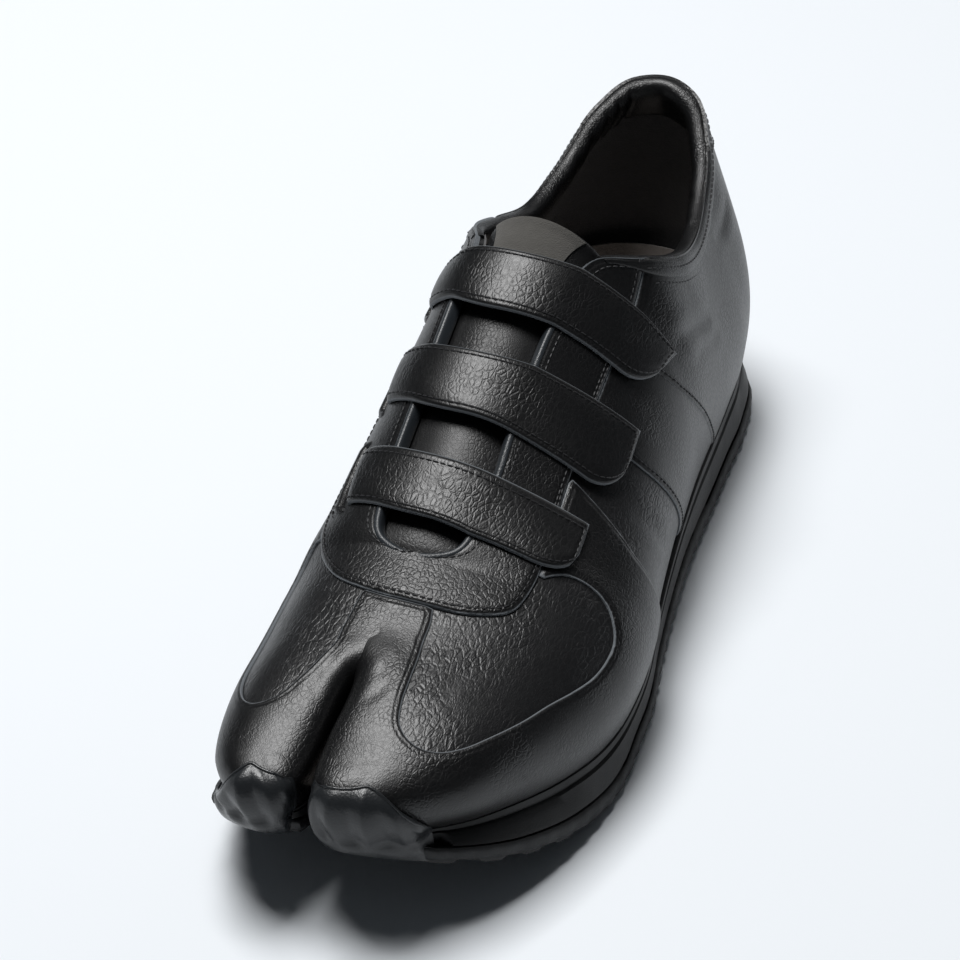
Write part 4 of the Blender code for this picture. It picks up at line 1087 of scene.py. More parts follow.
def rubber(name, colour, roughness, grain):
    """Moulded rubber or thread with a fine matt texture and a faint bloom; grain is its size in mm."""
    made, tree, shader = new_material(name, colour, roughness, Specular_IOR_Level=0.45)
    if tree is None:
        return made
    place = add_node(tree, "ShaderNodeTexCoord").outputs["Object"]
    speck = add_node(tree, "ShaderNodeTexNoise", {"Scale": METRE / grain, "Detail": 3.0}, {"Vector": place})
    bloom = add_node(tree, "ShaderNodeTexNoise", {"Scale": METRE / BLOOM, "Detail": 4.0}, {"Vector": place})
    bump = add_node(tree, "ShaderNodeBump", {"Strength": 0.8, "Distance": 0.12 * MM},
                    {"Height": speck.outputs["Fac"]})
    tree.links.new(bump.outputs[0], shader.inputs["Normal"])
    rough = add_node(tree, "ShaderNodeMapRange",
                     {"From Min": 0.3, "From Max": 0.7, "To Min": roughness - 0.08, "To Max": roughness + 0.1},
                     {"Value": bloom.outputs["Fac"]})
    tree.links.new(rough.outputs[0], shader.inputs["Roughness"])
    dust = add_node(tree, "ShaderNodeMapRange",
                    {"From Min": 0.3, "From Max": 0.75, "To Min": 0.85, "To Max": 1.35},
                    {"Value": bloom.outputs["Fac"]})
    shaded(tree, shader, colour, dust)
    return made


def piece(name, bm, finish, stands_for=(), sharp=38.0):
    """Finished piece: its mesh moved over the middle of the sole, shaded and riding on the shoe."""
    bmesh.ops.translate(bm, verts=bm.verts, vec=-MIDDLE * MM)
    mesh = bpy.data.meshes.new(name)
    bm.to_mesh(mesh)
    bm.free()
    if sharp:
        mesh.shade_smooth()
        mesh.set_sharp_from_angle(angle=math.radians(sharp))
    mesh.materials.append(finish)
    made = bpy.data.objects.new(name, mesh)
    bpy.context.scene.collection.objects.link(made)
    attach(made, "root")
    for node in stands_for:
        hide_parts(node)
    return made


def mapped_grid(bm, points):
    """Grid of faces whose corners take the given points; a layer keeps the place of each corner."""
    n, m = points.shape[:2]
    keys = bm.verts.layers.int.get("corner") or bm.verts.layers.int.new("corner")
    bmesh.ops.create_grid(bm, x_segments=n - 1, y_segments=m - 1, size=0.5)
    flat = (points * MM).reshape(-1, 3).tolist()
    for vert in bm.verts:
        i = round((vert.co.x + 0.5) * (n - 1))
        j = round((vert.co.y + 0.5) * (m - 1))
        vert.co = flat[i * m + j]
        vert[keys] = i * m + j


def close(bm):
    """Weld the seams of a form, cap its open ends and turn its faces outwards."""
    bmesh.ops.remove_doubles(bm, verts=bm.verts, dist=WELD)
    bmesh.ops.holes_fill(bm, edges=[e for e in bm.edges if e.is_boundary], sides=0)
    bmesh.ops.recalc_face_normals(bm, faces=bm.faces)


def slab(low, high):
    """Closed form between a low and a high sheet of points with one layout."""
    bm = bmesh.new()
    mapped_grid(bm, high)
    bmesh.ops.remove_doubles(bm, verts=bm.verts, dist=WELD)
    keys = bm.verts.layers.int["corner"]
    grown = bmesh.ops.extrude_face_region(bm, geom=bm.faces[:])["geom"]
    tops = {part for part in grown if isinstance(part, bmesh.types.BMVert)}
    flat = (low * MM).reshape(-1, 3).tolist()
    for vert in bm.verts:
        if vert not in tops:
            vert.co = flat[vert[keys]]
    close(bm)
    return bm


def overlay(skin, field, lift, rim=None):
    """Leather overlay where a field is negative: cut from the upper's grid, raised, with a rolled cut edge."""
    bm = bmesh.new()
    for name in ("depth", "edge"):
        bm.verts.layers.float.new(name)
    for name in ("out", "start"):
        bm.verts.layers.float_vector.new(name)
    mapped_grid(bm, skin.points)
    depth = bm.verts.layers.float["depth"]
    edge = bm.verts.layers.float["edge"]
    out = bm.verts.layers.float_vector["out"]
    start = bm.verts.layers.float_vector["start"]
    keys = bm.verts.layers.int["corner"]
    flat = field.reshape(-1).tolist()
    normals = skin.normals.reshape(-1, 3).tolist()
    rims = (rim if rim is not None else np.full(field.shape, FAR)).reshape(-1).tolist()
    for vert in bm.verts:
        k = vert[keys]
        vert[depth] = flat[k]
        vert[edge] = rims[k]
        vert[out] = normals[k]
    far = [f for f in bm.faces if min(c[depth] for c in f.verts) >= 0.0]
    bmesh.ops.delete(bm, geom=far, context="FACES")
    cut = []
    for e in bm.edges[:]:
        a, b = e.verts
        if (a[depth] < 0.0) != (b[depth] < 0.0):
            share = a[depth] / (a[depth] - b[depth])
            mixed = [x + (y - x) * share for x, y in zip(a[out], b[out])]
            reach = a[edge] + (b[edge] - a[edge]) * share
            _, made = bmesh.utils.edge_split(e, a, min(max(share, 0.001), 0.999))
            made[depth] = 0.0
            made[edge] = reach
            made[out] = mixed
            cut.append(made)
    bmesh.ops.connect_verts(bm, verts=cut)
    outer = [f for f in bm.faces if max(c[depth] for c in f.verts) > 0.00001]
    bmesh.ops.delete(bm, geom=outer, context="FACES")
    loose = [v for v in bm.verts if not v.link_faces]
    bmesh.ops.delete(bm, geom=loose, context="VERTS")
    bmesh.ops.remove_doubles(bm, verts=bm.verts, dist=WELD)
    for vert in bm.verts:
        vert[edge] = min(-vert[depth], vert[edge])
        vert[start] = vert.co
        vert.co += Vector(vert[out]) * UNDERSIDE * MM
    grown = bmesh.ops.extrude_face_region(bm, geom=bm.faces[:])["geom"]
    for part in grown:
        if isinstance(part, bmesh.types.BMVert):
            roll = min(max(-part[depth], 0.0) / ROLLED, 1.0)
            height = lift * (0.5 + 0.5 * math.sin(roll * math.pi / 2))
            part.co = Vector(part[start]) + Vector(part[out]) * height
    bmesh.ops.recalc_face_normals(bm, faces=bm.faces)
    return bm


def stitch(bm, points, normals):
    """Row of thread stitches along a line; each one is a short bead that dips into the leather at its ends."""
    own = looks()
    pitch = own.stitch_pitch / MM
    half = own.stitch_length / MM / 2
    thick = own.stitch_width / MM / 2
    lengths = path_length(points)
    count = int(lengths[-1] / pitch)
    for k in range(count):
        s = (k + 0.5) * lengths[-1] / count
        first, middle, last = (np.array([np.interp(s + d, lengths, points[:, c]) for c in range(3)])
                               for d in (-half, 0.0, half))
        up = np.array([np.interp(s, lengths, normals[:, c]) for c in range(3)])
        along = last - first
        along /= max(np.linalg.norm(along), 1e-9)
        up -= along * (up @ along)
        up /= max(np.linalg.norm(up), 1e-9)
        across = np.cross(up, along)
        frame_of = Matrix.Identity(4)
        for c, (axis, size) in enumerate(((across, thick), (up, thick), (along, half))):
            for r in range(3):
                frame_of[r][c] = axis[r] * size * MM
        for r in range(3):
            frame_of[r][3] = (middle[r] + up[r] * thick * 0.25) * MM
        bmesh.ops.create_uvsphere(bm, u_segments=6, v_segments=4, radius=1.0, matrix=frame_of)


def stitch_level(bm, skin, field, level, lift, inside=None, shortest=8.0):
    """Stitches along a level of a field, on leather of a given height, only where another field is negative."""
    for line in level_lines(field, level):
        run = []
        runs = [run]
        for i, j in line:
            if inside is not None and inside[int(round(i)), int(round(j))] > -STITCH_CLEAR:
                run = []
                runs.append(run)
                continue
            run.append(skin.at(i, j))
        for run in runs:
            if len(run) < 4:
                continue
            normals = np.array([n for _, n in run])
            points = np.array([p for p, _ in run]) + normals * lift
            if np.linalg.norm(np.diff(points, axis=0), axis=1).sum() > shortest:
                stitch(bm, points, normals)


SKIN = Skin()


def panel_fields():
    """Where each overlay lies: the fields of its seams joined, negative on the overlay."""
    f = SKIN.fields
    clear = -f["facing"] + PANEL_CLEAR
    guard = np.maximum.reduce([f["guard"], clear, -f["window_lateral"], -f["window_medial"]])
    medial = np.broadcast_to((SKIN.g > HEEL_BACK)[:, None], f["guard"].shape)
    quarter = np.maximum.reduce([-f["quarter"], f["counter"] - TUCK, clear])
    counter = np.maximum.reduce([-f["counter"], f["tab"] - TUCK, clear])
    tab = np.maximum(-f["tab"], -f["counter"])
    return {
        "facing": f["facing"],
        "toe_guard": guard,
        "quarter_lateral": np.where(medial, FAR, quarter),
        "quarter_medial": np.where(medial, quarter, FAR),
        "heel_counter": counter,
        "heel_tab": tab,
    }


def bridge_grid(rows, across):
    """Points and normals of the instep for rows of a and shares b across."""
    frames = [[bridge_frame(a, b) for b in across] for a in rows]
    points = np.array([[f[0] for f in row] for row in frames])
    normals = np.array([[f[1] for f in row] for row in frames])
    return points, normals


def unit(vectors):
    """Vectors of length one."""
    return vectors / np.linalg.norm(vectors, axis=-1, keepdims=True)


def ease(share):
    """Smooth rise from nothing to one."""
    return share * share * (3 - 2 * share)


def end_fade(count, steps, least=0.0):
    """One along a row of points, falling to a least share over some steps at each end."""
    along = np.arange(count)
    return np.clip(np.minimum(along, along[::-1]) / steps, least, 1.0)


def path_length(points):
    """Length of a line from its start to each of its points."""
    return np.concatenate([[0.0], np.cumsum(np.linalg.norm(np.diff(points, axis=0), axis=1))])


def tube(points):
    """Closed form through rings of points, each of which ends where it starts."""
    bm = bmesh.new()
    mapped_grid(bm, points)
    close(bm)
    return bm


def sewing_thread():
    """Bonded nylon thread, twisted and waxed: a dull shine on each stitch."""
    return rubber("bonded sewing thread", looks().thread, 0.5, 0.25)


def glove_leather():
    """Thin tanned lamb skin, fine in the grain, that stretches over padding and cords."""
    return leather("glove leather of the collar", looks().leather, 1.0, 0.9, 0.07, edged=False)


class SHOE_OT_upper(bpy.types.Operator):
    """Shell of the upper, which shows in the windows of the vamp and between the quarters."""

    bl_idname = "shoe.upper"
    bl_label = "Upper"

    def execute(self, context):
        finish = leather("milled vamp leather", looks().vamp, 1.6, 0.45, 0.085, edged=False)
        bm = slab(SKIN.points - SKIN.normals * SHELL, SKIN.points)
        piece("upper_shell", bm, finish, ("upper",))
        return {"FINISHED"}


class SHOE_OT_overlays(bpy.types.Operator):
    """Facing, toe guard, quarters, heel counter and heel tab with their stitching."""

    bl_idname = "shoe.overlays"
    bl_label = "Overlays"

    def execute(self, context):
        own = looks()
        finish = leather("pebbled leather", own.leather, 1.4, 0.7, 0.06)
        lift = own.panel_lift / MM
        high = own.facing_lift / MM
        inset = own.stitch_inset / MM
        fields = panel_fields()
        for name, field in fields.items():
            rim = SKIN.fields["rim"] if name == "facing" else None
            height = own.facing_lift if name == "facing" else own.panel_lift * TIERS[name]
            bm = overlay(SKIN, field, height, rim)
            piece(name + "_panel", bm, finish, (name,))
        f = SKIN.fields
        bm = bmesh.new()
        on_guard = fields["toe_guard"] + inset - STITCH_CLEAR
        for window in ("window_lateral", "window_medial"):
            stitch_level(bm, SKIN, f[window], inset, lift, on_guard)
        stitch_level(bm, SKIN, f["guard"], -inset, lift, on_guard)
        for seam, name in (("quarter", "quarter_lateral"), ("quarter", "quarter_medial"),
                           ("counter", "heel_counter"), ("tab", "heel_tab")):
            stitch_level(bm, SKIN, f[seam], inset, lift * TIERS[name], fields[name])
        piece("overlay_stitches", bm, sewing_thread())
        bm = bmesh.new()
        stitch_level(bm, SKIN, f["facing"], -inset, high)
        under_rim = np.where(f["facing"] < 0.0, -f["rim"], FAR)
        stitch_level(bm, SKIN, under_rim, -RIM_STITCH, high, f["facing"])
        piece("facing_stitches", bm, sewing_thread())
        return {"FINISHED"}


class SHOE_OT_collar(bpy.types.Operator):
    """Padded roll round the ankle and the soft lining under it."""

    bl_idname = "shoe.collar"
    bl_label = "Collar and lining"

    def execute(self, context):
        own = looks()
        rim, up, out = self.roll()
        self.fold()
        bm = bmesh.new()
        clear = slice(STITCH_SKIP, -STITCH_SKIP)
        panel = own.panel_lift / MM
        for drop, stand in (ROLL_STITCH, (PANEL_STITCH[0], panel + PANEL_STITCH[1])):
            stitch(bm, (rim - up * drop + out * stand)[clear], out[clear])
        piece("collar_stitches", bm, sewing_thread())
        keep = (SKIN.g > 0.0) & (SKIN.g <= RIM_END)
        points = SKIN.points[keep][::2, ::2]
        normals = SKIN.normals[keep][::2, ::2]
        bm = slab(points - normals * LINING_INNER, points - normals * LINING_OUTER)
        piece("lining", bm, cloth("brushed lining", own.lining, 0.6, 0.85))
        return {"FINISHED"}

    def roll(self):
        """The padded roll; returns the rim with its directions up and out."""
        start, end = ROLL_ENDS
        places = np.linspace(start, end, ROLL_STEPS)
        rim = np.array([bezier(section(g), 1.0) for g in places])
        up = unit(rim - np.array([bezier(section(g), UNDER_RIM) for g in places]))
        out = np.array([surface_point(g, AT_RIM)[1] for g in places])
        out = unit(out - up * (out * up).sum(axis=1, keepdims=True))
        full = ease(np.clip(np.minimum(places - start, end - places) / ROLL_SWELL, 0.0, 1.0))
        full = ROLL_LEAST + (1.0 - ROLL_LEAST) * full
        for g, half, depth in PUCKERS:
            full -= depth * np.exp(-((places - g) / half) ** 2)
        ring = smooth_loop(ROLL, 3)
        ring = np.vstack([ring, ring[:1]])
        points = np.empty((len(places), len(ring), 3))
        for k, (n, u) in enumerate(ring):
            inward = n * full if n < 0.0 else np.full(len(places), n)
            points[:, k] = rim + out * inward[:, None] + up * (u * np.where(u < 0.0, full, 1.0))[:, None]
        made = piece("collar_roll", tube(points), glove_leather(), sharp=60.0)
        return rim, up, out

    def fold(self):
        """The folded edge of the facing, down one side of the throat and up the other."""
        medial = np.linspace(FOLD_MEDIAL, RIM_END, FOLD_STEPS)
        places = np.concatenate([medial, np.linspace(0.0, FOLD_LATERAL, FOLD_STEPS)[1:]])
        spots = [surface_point(g, AT_RIM)[1] for g in places]
        edge = np.array([landing(g) if g < RIM_END else landing(0.0) for g in places])
        face = np.array([np.mean(spots[max(k - 6, 0):k + 7], axis=0) for k in range(len(spots))])
        inward = unit(np.cross(face, unit(np.gradient(edge, axis=0))))
        ring = smooth_loop(FOLD, 2)
        ends = end_fade(len(edge), FOLD_FADE)[:, None]
        rings = [edge + face * (n * ends) + inward * (u * ends) for n, u in np.vstack([ring, ring[:1]])]
        # The fold's lighter grey-blue colour is a painted highlight on its rolled edge
        fold_leather_with_painted_highlight = leather("folded facing leather with painted highlight", looks().fold, 0.8, 0.9, 0.05, edged=False)
        piece("facing_fold", tube(np.stack(rings, axis=1)), fold_leather_with_painted_highlight, sharp=70.0)


class SHOE_OT_tongue(bpy.types.Operator):
    """Padded tongue under the facing, with its soft top panel."""

    bl_idname = "shoe.tongue"
    bl_label = "Tongue"

    def execute(self, context):
        own = looks()
        rows = np.linspace(*TONGUE_ENDS, 64)
        across = np.linspace(-TONGUE_HALF, TONGUE_HALF, 49)
        points, normals = bridge_grid(rows, across)
        free = np.clip((rows - TONGUE_FREE) / (rows[-1] - TONGUE_FREE), 0.0, 1.0)[:, None]
        crown = np.maximum(0.0, 1.0 - (across / BRIDGE) ** 2)[None, :]
        along = np.clip((rows - rows[0]) / (rows[-1] - rows[0]), 0, 1)
        puff = TONGUE_PUFF * np.sin(along * math.pi)[:, None] * crown
        sunk = WALL + TONGUE_CLEAR - TONGUE_STAND * free * crown
        round_end = np.clip((rows[-1] - rows) / TONGUE_ROUND_END, 0.0, 1.0)[:, None] ** 0.5
        round_side = np.clip((TONGUE_HALF - np.abs(across)) / TONGUE_ROUND_SIDE, 0.0, 1.0)[None, :] ** 0.5
        half = TONGUE / 2 * np.minimum(round_end, round_side) * np.ones_like(sunk)
        middle = points - normals * (sunk + TONGUE / 2)[..., None]
        high = middle + normals * (half + puff)[..., None]
        low = middle - normals * half[..., None]
        finish = leather("soft tongue leather", own.leather, 1.3, 0.8, 0.06, edged=False, dull=0.1)
        made = piece("tongue_pad", slab(low, high), finish, ("tongue",), sharp=70.0)
        spot = np.ix_((rows > PATCH_ROWS[0]) & (rows < PATCH_ROWS[1]), np.abs(across) < PATCH_HALF)
        under, over = (high[spot] + normals[spot] * height for height in PATCH_FACES)
        nubuck = cloth("taupe nubuck", own.taupe, 0.35, 0.9)
        piece("tongue_panel", slab(under, over), nubuck, sharp=60.0)
        return {"FINISHED"}


def strap_sheet(front, back, bow, skew, medial, lateral, flare):
    """Points and normals of the instep under a strap, from its base to its round tip."""
    body = np.linspace(0.0, 1.0 - STRAP_TIP, 56)[:-1]
    tip = 1.0 - STRAP_TIP * np.cos(np.linspace(0.0, math.pi / 2, 16))
    shares = np.concatenate([body, tip])
    into = np.clip((shares - 1.0 + STRAP_TIP) / STRAP_TIP, 0.0, 1.0)
    cut = (1.0 - np.sqrt(1.0 - into ** 2)) * STRAP_ROUND
    points = np.empty((len(shares), len(STRAP_ACROSS), 3))
    normals = np.empty_like(points)
    knots = np.linspace(0.0, 1.0, 5)
    for i, b in enumerate(medial + (lateral - medial) * shares):
        toe = front - flare * max(b, 0.0) ** 2
        widths = cut[i] + (1.0 - cut[i]) * knots
        frames = [bridge_frame(toe + (back - toe) * w + bow * b * b + skew * b, b) for w in widths]
        for c in range(3):
            points[i, :, c] = np.interp(STRAP_ACROSS, knots, [p[c] for p, _ in frames])
            normals[i, :, c] = np.interp(STRAP_ACROSS, knots, [n[c] for _, n in frames])
    return points, normals


class SHOE_OT_straps(bpy.types.Operator):
    """Fastened straps over the throat with their stitching and the welts where they leave the facing."""

    bl_idname = "shoe.straps"
    bl_label = "Straps"

    def execute(self, context):
        own = looks()
        finish = leather("pebbled strap leather", own.leather, 1.55, 0.5, 0.06)
        thick = own.strap_thickness / MM
        inset = own.stitch_inset / MM + STITCH_CLEAR
        clear = GAP + PANEL + STRAP_CLEAR
        across = STRAP_ACROSS[None, :]
        for name, table in STRAPS.items():
            points, normals = strap_sheet(*table)
            width = np.linalg.norm(points[:, -1] - points[:, 0], axis=1)[:, None]
            length = path_length(points[:, len(STRAP_ACROSS) // 2])[:, None]
            inner = np.minimum(np.minimum(across, 1.0 - across) * width, length[-1] - length)
            roll = np.sin(np.clip(inner / STRAP_ROLL, 0.0, 1.0) * math.pi / 2)
            pull = STRAP_PULL * np.exp(-((inner - inset) / 0.7) ** 2)
            wave = STRAP_WAVE * np.sin(length / 9.0 + across * 2.0) * np.sin(across * math.pi)
            dive = STRAP_DIVE * np.clip(1.0 - length / 5.0, 0.0, 1.0) ** 2
            low = clear - dive + np.zeros_like(inner)
            high = clear + thick * (0.45 + 0.55 * roll) - pull + wave * np.clip(inner / 4.0, 0.0, 1.0) - dive
            bm = slab(points + normals * low[..., None], points + normals * high[..., None])
            edge = bm.verts.layers.float.new("edge")
            keys = bm.verts.layers.int["corner"]
            flat = inner.reshape(-1)
            for vert in bm.verts:
                vert[edge] = float(flat[vert[keys]])
            piece(name + "_leather", bm, finish, (name,), sharp=55.0)

            sewn = ((length[-1] - length >= inset) & (length >= 2.0))[:, 0]
            top = points + normals * (high + 0.02)[..., None]
            self.stitches(name, top[sewn], normals[sewn], inset / width[sewn, 0])
            self.welt(name, *table[:5])
        return {"FINISHED"}

    def stitches(self, name, top, normals, insets):
        """Stitches along both edges of a strap and across its tip; insets are shares of its width."""
        rows = np.arange(len(top))
        last = np.full(12, len(top) - 1)
        bm = bmesh.new()
        for ids, shares in ((rows, insets), (rows, 1.0 - insets),
                            (last, np.linspace(insets[-1], 1.0 - insets[-1], len(last)))):
            line, ups = (np.array([[np.interp(s, STRAP_ACROSS, grid[i, :, c]) for c in range(3)]
                                   for i, s in zip(ids, shares)]) for grid in (top, normals))
            stitch(bm, line, ups)
        piece(name + "_stitches", bm, sewing_thread())

    def welt(self, name, front, back, bow, skew, medial):
        """Raised lip of the facing round the base of a strap, with a row of stitches outside it."""
        base = looks().facing_lift / MM
        end = medial - WELT_OFF
        knots = [(front + a, end + b) for a, b in WELT_FRONT]
        knots += [(back - a, end + b) for a, b in WELT_FRONT[::-1]]
        frames = [bridge_frame(a + bow * b * b + skew * b, b) for a, b in smooth_line(knots, 8)]
        points = np.array([p for p, _ in frames])
        normals = np.array([n for _, n in frames])
        across = np.cross(unit(np.gradient(points, axis=0)), normals)
        turn = np.linspace(0.0, 2 * math.pi, 11)
        fade = end_fade(len(points), 18.0)
        ring = np.empty((len(points), len(turn), 3))
        for k, t in enumerate(turn):
            ring[:, k] = (points + normals * (base - WELT_SUNK + WELT_HIGH * math.sin(t) * fade)[:, None]
                          + across * (WELT_WIDE * math.cos(t) * (0.4 + 0.6 * fade))[:, None])
        piece(name + "_welt", tube(ring), glove_leather(), sharp=70.0)
        bm = bmesh.new()
        away = np.sign(((points - points.mean(axis=0)) * across).sum(axis=1))[:, None]
        clear = slice(STITCH_SKIP, -STITCH_SKIP)
        stitch(bm, (points + across * away * WELT_STITCH + normals * base)[clear], normals[clear])
        piece(name + "_welt_stitches", bm, sewing_thread())


def sole_places():
    """Places round the sole; the tight fork of the slit takes only its middle."""
    return [g for g in SKIN.g[:-1:2] if abs(g - SLIT_END) > FORK_CLEAR or abs(g - SLIT_END) < 0.1]


def arc(g):
    """Length of the feather edge from its start to g."""
    whole = int(g)
    return ROW_SPANS[:whole].sum() + ROW_SPANS[whole % ROW_COUNT] * (g - whole)


def behind_bumper(g):
    """One behind a bumper, fading to nothing at its ends."""
    inside = max(min(g - knots[0][0], knots[-1][0] - g) for knots in (BUMPER_BIG, BUMPER_FOUR))
    return min(max(inside / BUMPER_RUN_OUT, 0.0), 1.0)


def sole_loops(rows):
    """Closed wall of the sole through rows of points round it; open at top and bottom, it is capped."""
    places = sole_places()
    points = np.array([[row(g) for row in rows] for g in places + places[:1]])
    return tube(points)


def prism(shape, axis, low, high):
    """Closed form: a flat outline pushed along X or Z."""
    bm = bmesh.new()
    if axis == "z":
        verts = [bm.verts.new((x * MM, y * MM, low * MM)) for x, y in shape]
        push = (0.0, 0.0, (high - low) * MM)
    else:
        verts = [bm.verts.new((low * MM, y * MM, z * MM)) for y, z in shape]
        push = ((high - low) * MM, 0.0, 0.0)
    grown = bmesh.ops.extrude_face_region(bm, geom=[bm.faces.new(verts)])["geom"]
    bmesh.ops.translate(bm, verts=[v for v in grown if isinstance(v, bmesh.types.BMVert)], vec=push)
    bmesh.ops.recalc_face_normals(bm, faces=bm.faces)
    return bm


def held(name, bm):
    """Temporary object for a cut."""
    mesh = bpy.data.meshes.new(name)
    bm.to_mesh(mesh)
    bm.free()
    made = bpy.data.objects.new(name, mesh)
    bpy.context.scene.collection.objects.link(made)
    return made


def common(first, second):
    """What two forms have in common, as a new mesh."""
    one = held("one", first)
    two = held("two", second)
    cut = one.modifiers.new("cut", "BOOLEAN")
    cut.operation = "INTERSECT"
    cut.solver = "EXACT"
    cut.object = two
    graph = bpy.context.evaluated_depsgraph_get()
    bm = bmesh.new()
    bm.from_mesh(one.evaluated_get(graph).to_mesh())
    for made in (one, two):
        mesh = made.data
        bpy.data.objects.remove(made, do_unlink=True)
        bpy.data.meshes.remove(mesh)
    return bm


def midsole_row(t, flare, step):
    """Row of the midsole's side: share of the way down, share of its flare, step in or out."""
    def at(g):
        low = midsole_foot(g)
        high = midsole_top(g)
        margin = high + (low - high) * flare + (step if ledge(g) > SLIT_LEDGE else min(step, 0.0))
        x, y, top = feather(g, margin)
        bottom = sole_height(y, 2) + GAP
        return np.array((x, y, top - GAP + (bottom - top + GAP) * t))
    return at


def band_row(out, share, ripple):
    """Row of the outsole's band: step out from its ledge, share of the way down, height of the ripple."""
    def at(g):
        clear_of_slit = ledge(g) > SLIT_LEDGE
        wave = math.sin(2 * math.pi * arc(g) / RIPPLE) * ripple * clear_of_slit
        wave -= BAND_RETREAT * behind_bumper(g)
        x, y, _ = feather(g, max(ledge(g) + out * clear_of_slit + wave, BAND_LEAST))
        high = sole_height(y, 2)
        low = sole_height(y, 1) + BAND_LOW * LUG_DEPTH
        return np.array((x, y, high + (low - high) * share + max(wave, -BAND_LEAST) * (share > 0.9)))
    return at


def insole_row(inset, height, cup):
    """Row of the insole's edge: how far in, how high, and its share of the cup round the heel."""
    def at(g):
        x, y, z = feather(g, -min(inset, INSOLE_SLIT if ledge(g) < SLIT_LEDGE else inset))
        lift = min(max((y - HEEL_CUP_START) / HEEL_CUP_RUN, 0.0), 1.0)
        return np.array((x, y, z + height + HEEL_CUP * cup * ease(lift)))
    return at


class SHOE_OT_sole(bpy.types.Operator):
    """Midsole, lugged outsole and the two toe bumpers."""

    bl_idname = "shoe.sole"
    bl_label = "Sole"

    def execute(self, context):
        own = looks()
        # Foam moulded in a blasted tool is dull; rubber pressed in a cut tool has a faint bloom
        foam = rubber("moulded foam", own.foam, 0.62, 0.5)
        black = rubber("pressed outsole rubber", own.rubber, 0.6, 0.4)
        hood = rubber("glossy bumper rubber", own.bumper, 0.3, 0.6)
        bm = sole_loops([midsole_row(*row) for row in MIDSOLE_SIDE])
        piece("midsole_foam", bm, foam, ("midsole",), sharp=45.0)
        piece("outsole_rubber", self.lugs(), black, ("outsole",), sharp=30.0)
        bm = sole_loops([band_row(*row) for row in (*BAND_SIDE, BAND_SIDE[0])])
        piece("outsole_band", bm, black, sharp=50.0)
        for name, knots in (("toe_bumper_big", BUMPER_BIG), ("toe_bumper_four", BUMPER_FOUR)):
            self.bumper(name, np.array(knots), hood)
        return {"FINISHED"}

    def lugs(self):
        """The outsole's side view with its cross lugs, cut to the plan of the sole."""
        ys = np.linspace(SOLE[0][0], SOLE[-1][0], 120)
        top = [(y, sole_height(y, 2)) for y in ys]
        first = math.ceil((SOLE[-1][0] - LUG_CENTRE) / LUG_PITCH)
        last = math.floor((SOLE[0][0] - LUG_CENTRE) / LUG_PITCH)
        half = LUG_LAND / 2
        flank = ((half - LUG_SOFT, 0.0), (half + LUG_SOFT / 3, LUG_SOFT),
                 (half + LUG_FLANK, LUG_DEPTH - LUG_SOFT), (half + LUG_FLANK + LUG_SOFT, LUG_DEPTH))
        lug = [(-offset, depth) for offset, depth in flank[::-1]] + list(flank)
        low = []
        for k in range(first, last + 1):
            for offset, depth in lug:
                y = LUG_CENTRE + k * LUG_PITCH + offset
                if ys[-1] < y < ys[0]:
                    low.append((y, sole_height(y, 1) + depth))
        plan = [feather(g, ledge(g) - LUG_INSET - LUG_RETREAT * behind_bumper(g))[:2] for g in sole_places()]
        return common(prism(top + low, "x", -80.0, 80.0), prism(plan, "z", -20.0, 90.0))

    def bumper(self, name, table, finish):
        """Rubber hood over a toe: soft folds that slant up from the sole, with a thin lip along its top."""
        shares = np.concatenate([np.linspace(-1.0, -0.2, 5), np.linspace(0.0, 1.0, 13)])
        steps = np.linspace(0.0, 1.0, 61)
        crest = smooth_line(table, 6)
        outer = np.empty((len(steps), len(shares), 3))
        inner = np.empty_like(outer)
        for i, t in enumerate(steps):
            g = table[0, 0] + (table[-1, 0] - table[0, 0]) * t
            out = np.append(outward(g), 0.0)
            end = ease(min(min(t, 1.0 - t) / BUMPER_TAPER, 1.0))
            rise = np.interp(g, crest[:, 0], crest[:, 1]) * (1.0 + 0.03 * math.sin(15.0 * t))
            root = feather(g) + out * (ledge(g) - BUMPER_ROOT + 0.5 * end)
            root[2] = sole_height(root[1], 1) + BUMPER_RIM
            for k, share in enumerate(shares):
                v = rise * max(share, 0.0)
                on, normal = surface_point(g, v)
                on = on + out * fullness(g, v)
                turn = FOLDS * t + FOLD_SLANT * share
                ridge = 1.0 - abs(2.0 * (turn - math.floor(turn)) - 1.0)
                thick = BUMPER_RIM + (BUMPER_THICK - BUMPER_RIM) * end
                thick -= BUMPER_THIN * end * max(share - 0.7, 0.0) / 0.3
                calm = min(1.0 - share, 0.6) / 0.6 * min(1.0 + 0.8 * share, 1.0)
                thick += FOLD_DEPTH * end * (ridge - 0.5) * calm
                inner[i, k] = on + normal * (BUMPER_CLEAR - 0.5)
                outer[i, k] = on + normal * (BUMPER_CLEAR * (0.4 + 0.6 * end) + thick)
                if share < 0.0:
                    down = -share
                    outer[i, k] = outer[i, k] * (1.0 - down) + root * down
                    outer[i, k] += out * (BUMPER_BULGE * end * math.sin(math.pi * down))
                    inner[i, k] = inner[i, k] * (1.0 - down) + (root - out * BUMPER_FOOT) * down
        piece(name, slab(inner, outer), finish, sharp=50.0)
        top = outer[:, -1]
        along = unit(np.gradient(top, axis=0))
        up = np.cross(along, np.cross((0.0, 0.0, 1.0), along))
        side = np.cross(along, up)
        ends = end_fade(len(top), 8.0, 0.2)[:, None] * BUMPER_RIM
        ring = [top + (up * math.sin(t) + side * math.cos(t)) * ends for t in np.linspace(0.0, 2 * math.pi, 9)]
        piece(name + "_lip", tube(np.stack(ring, axis=1)), finish, sharp=60.0)


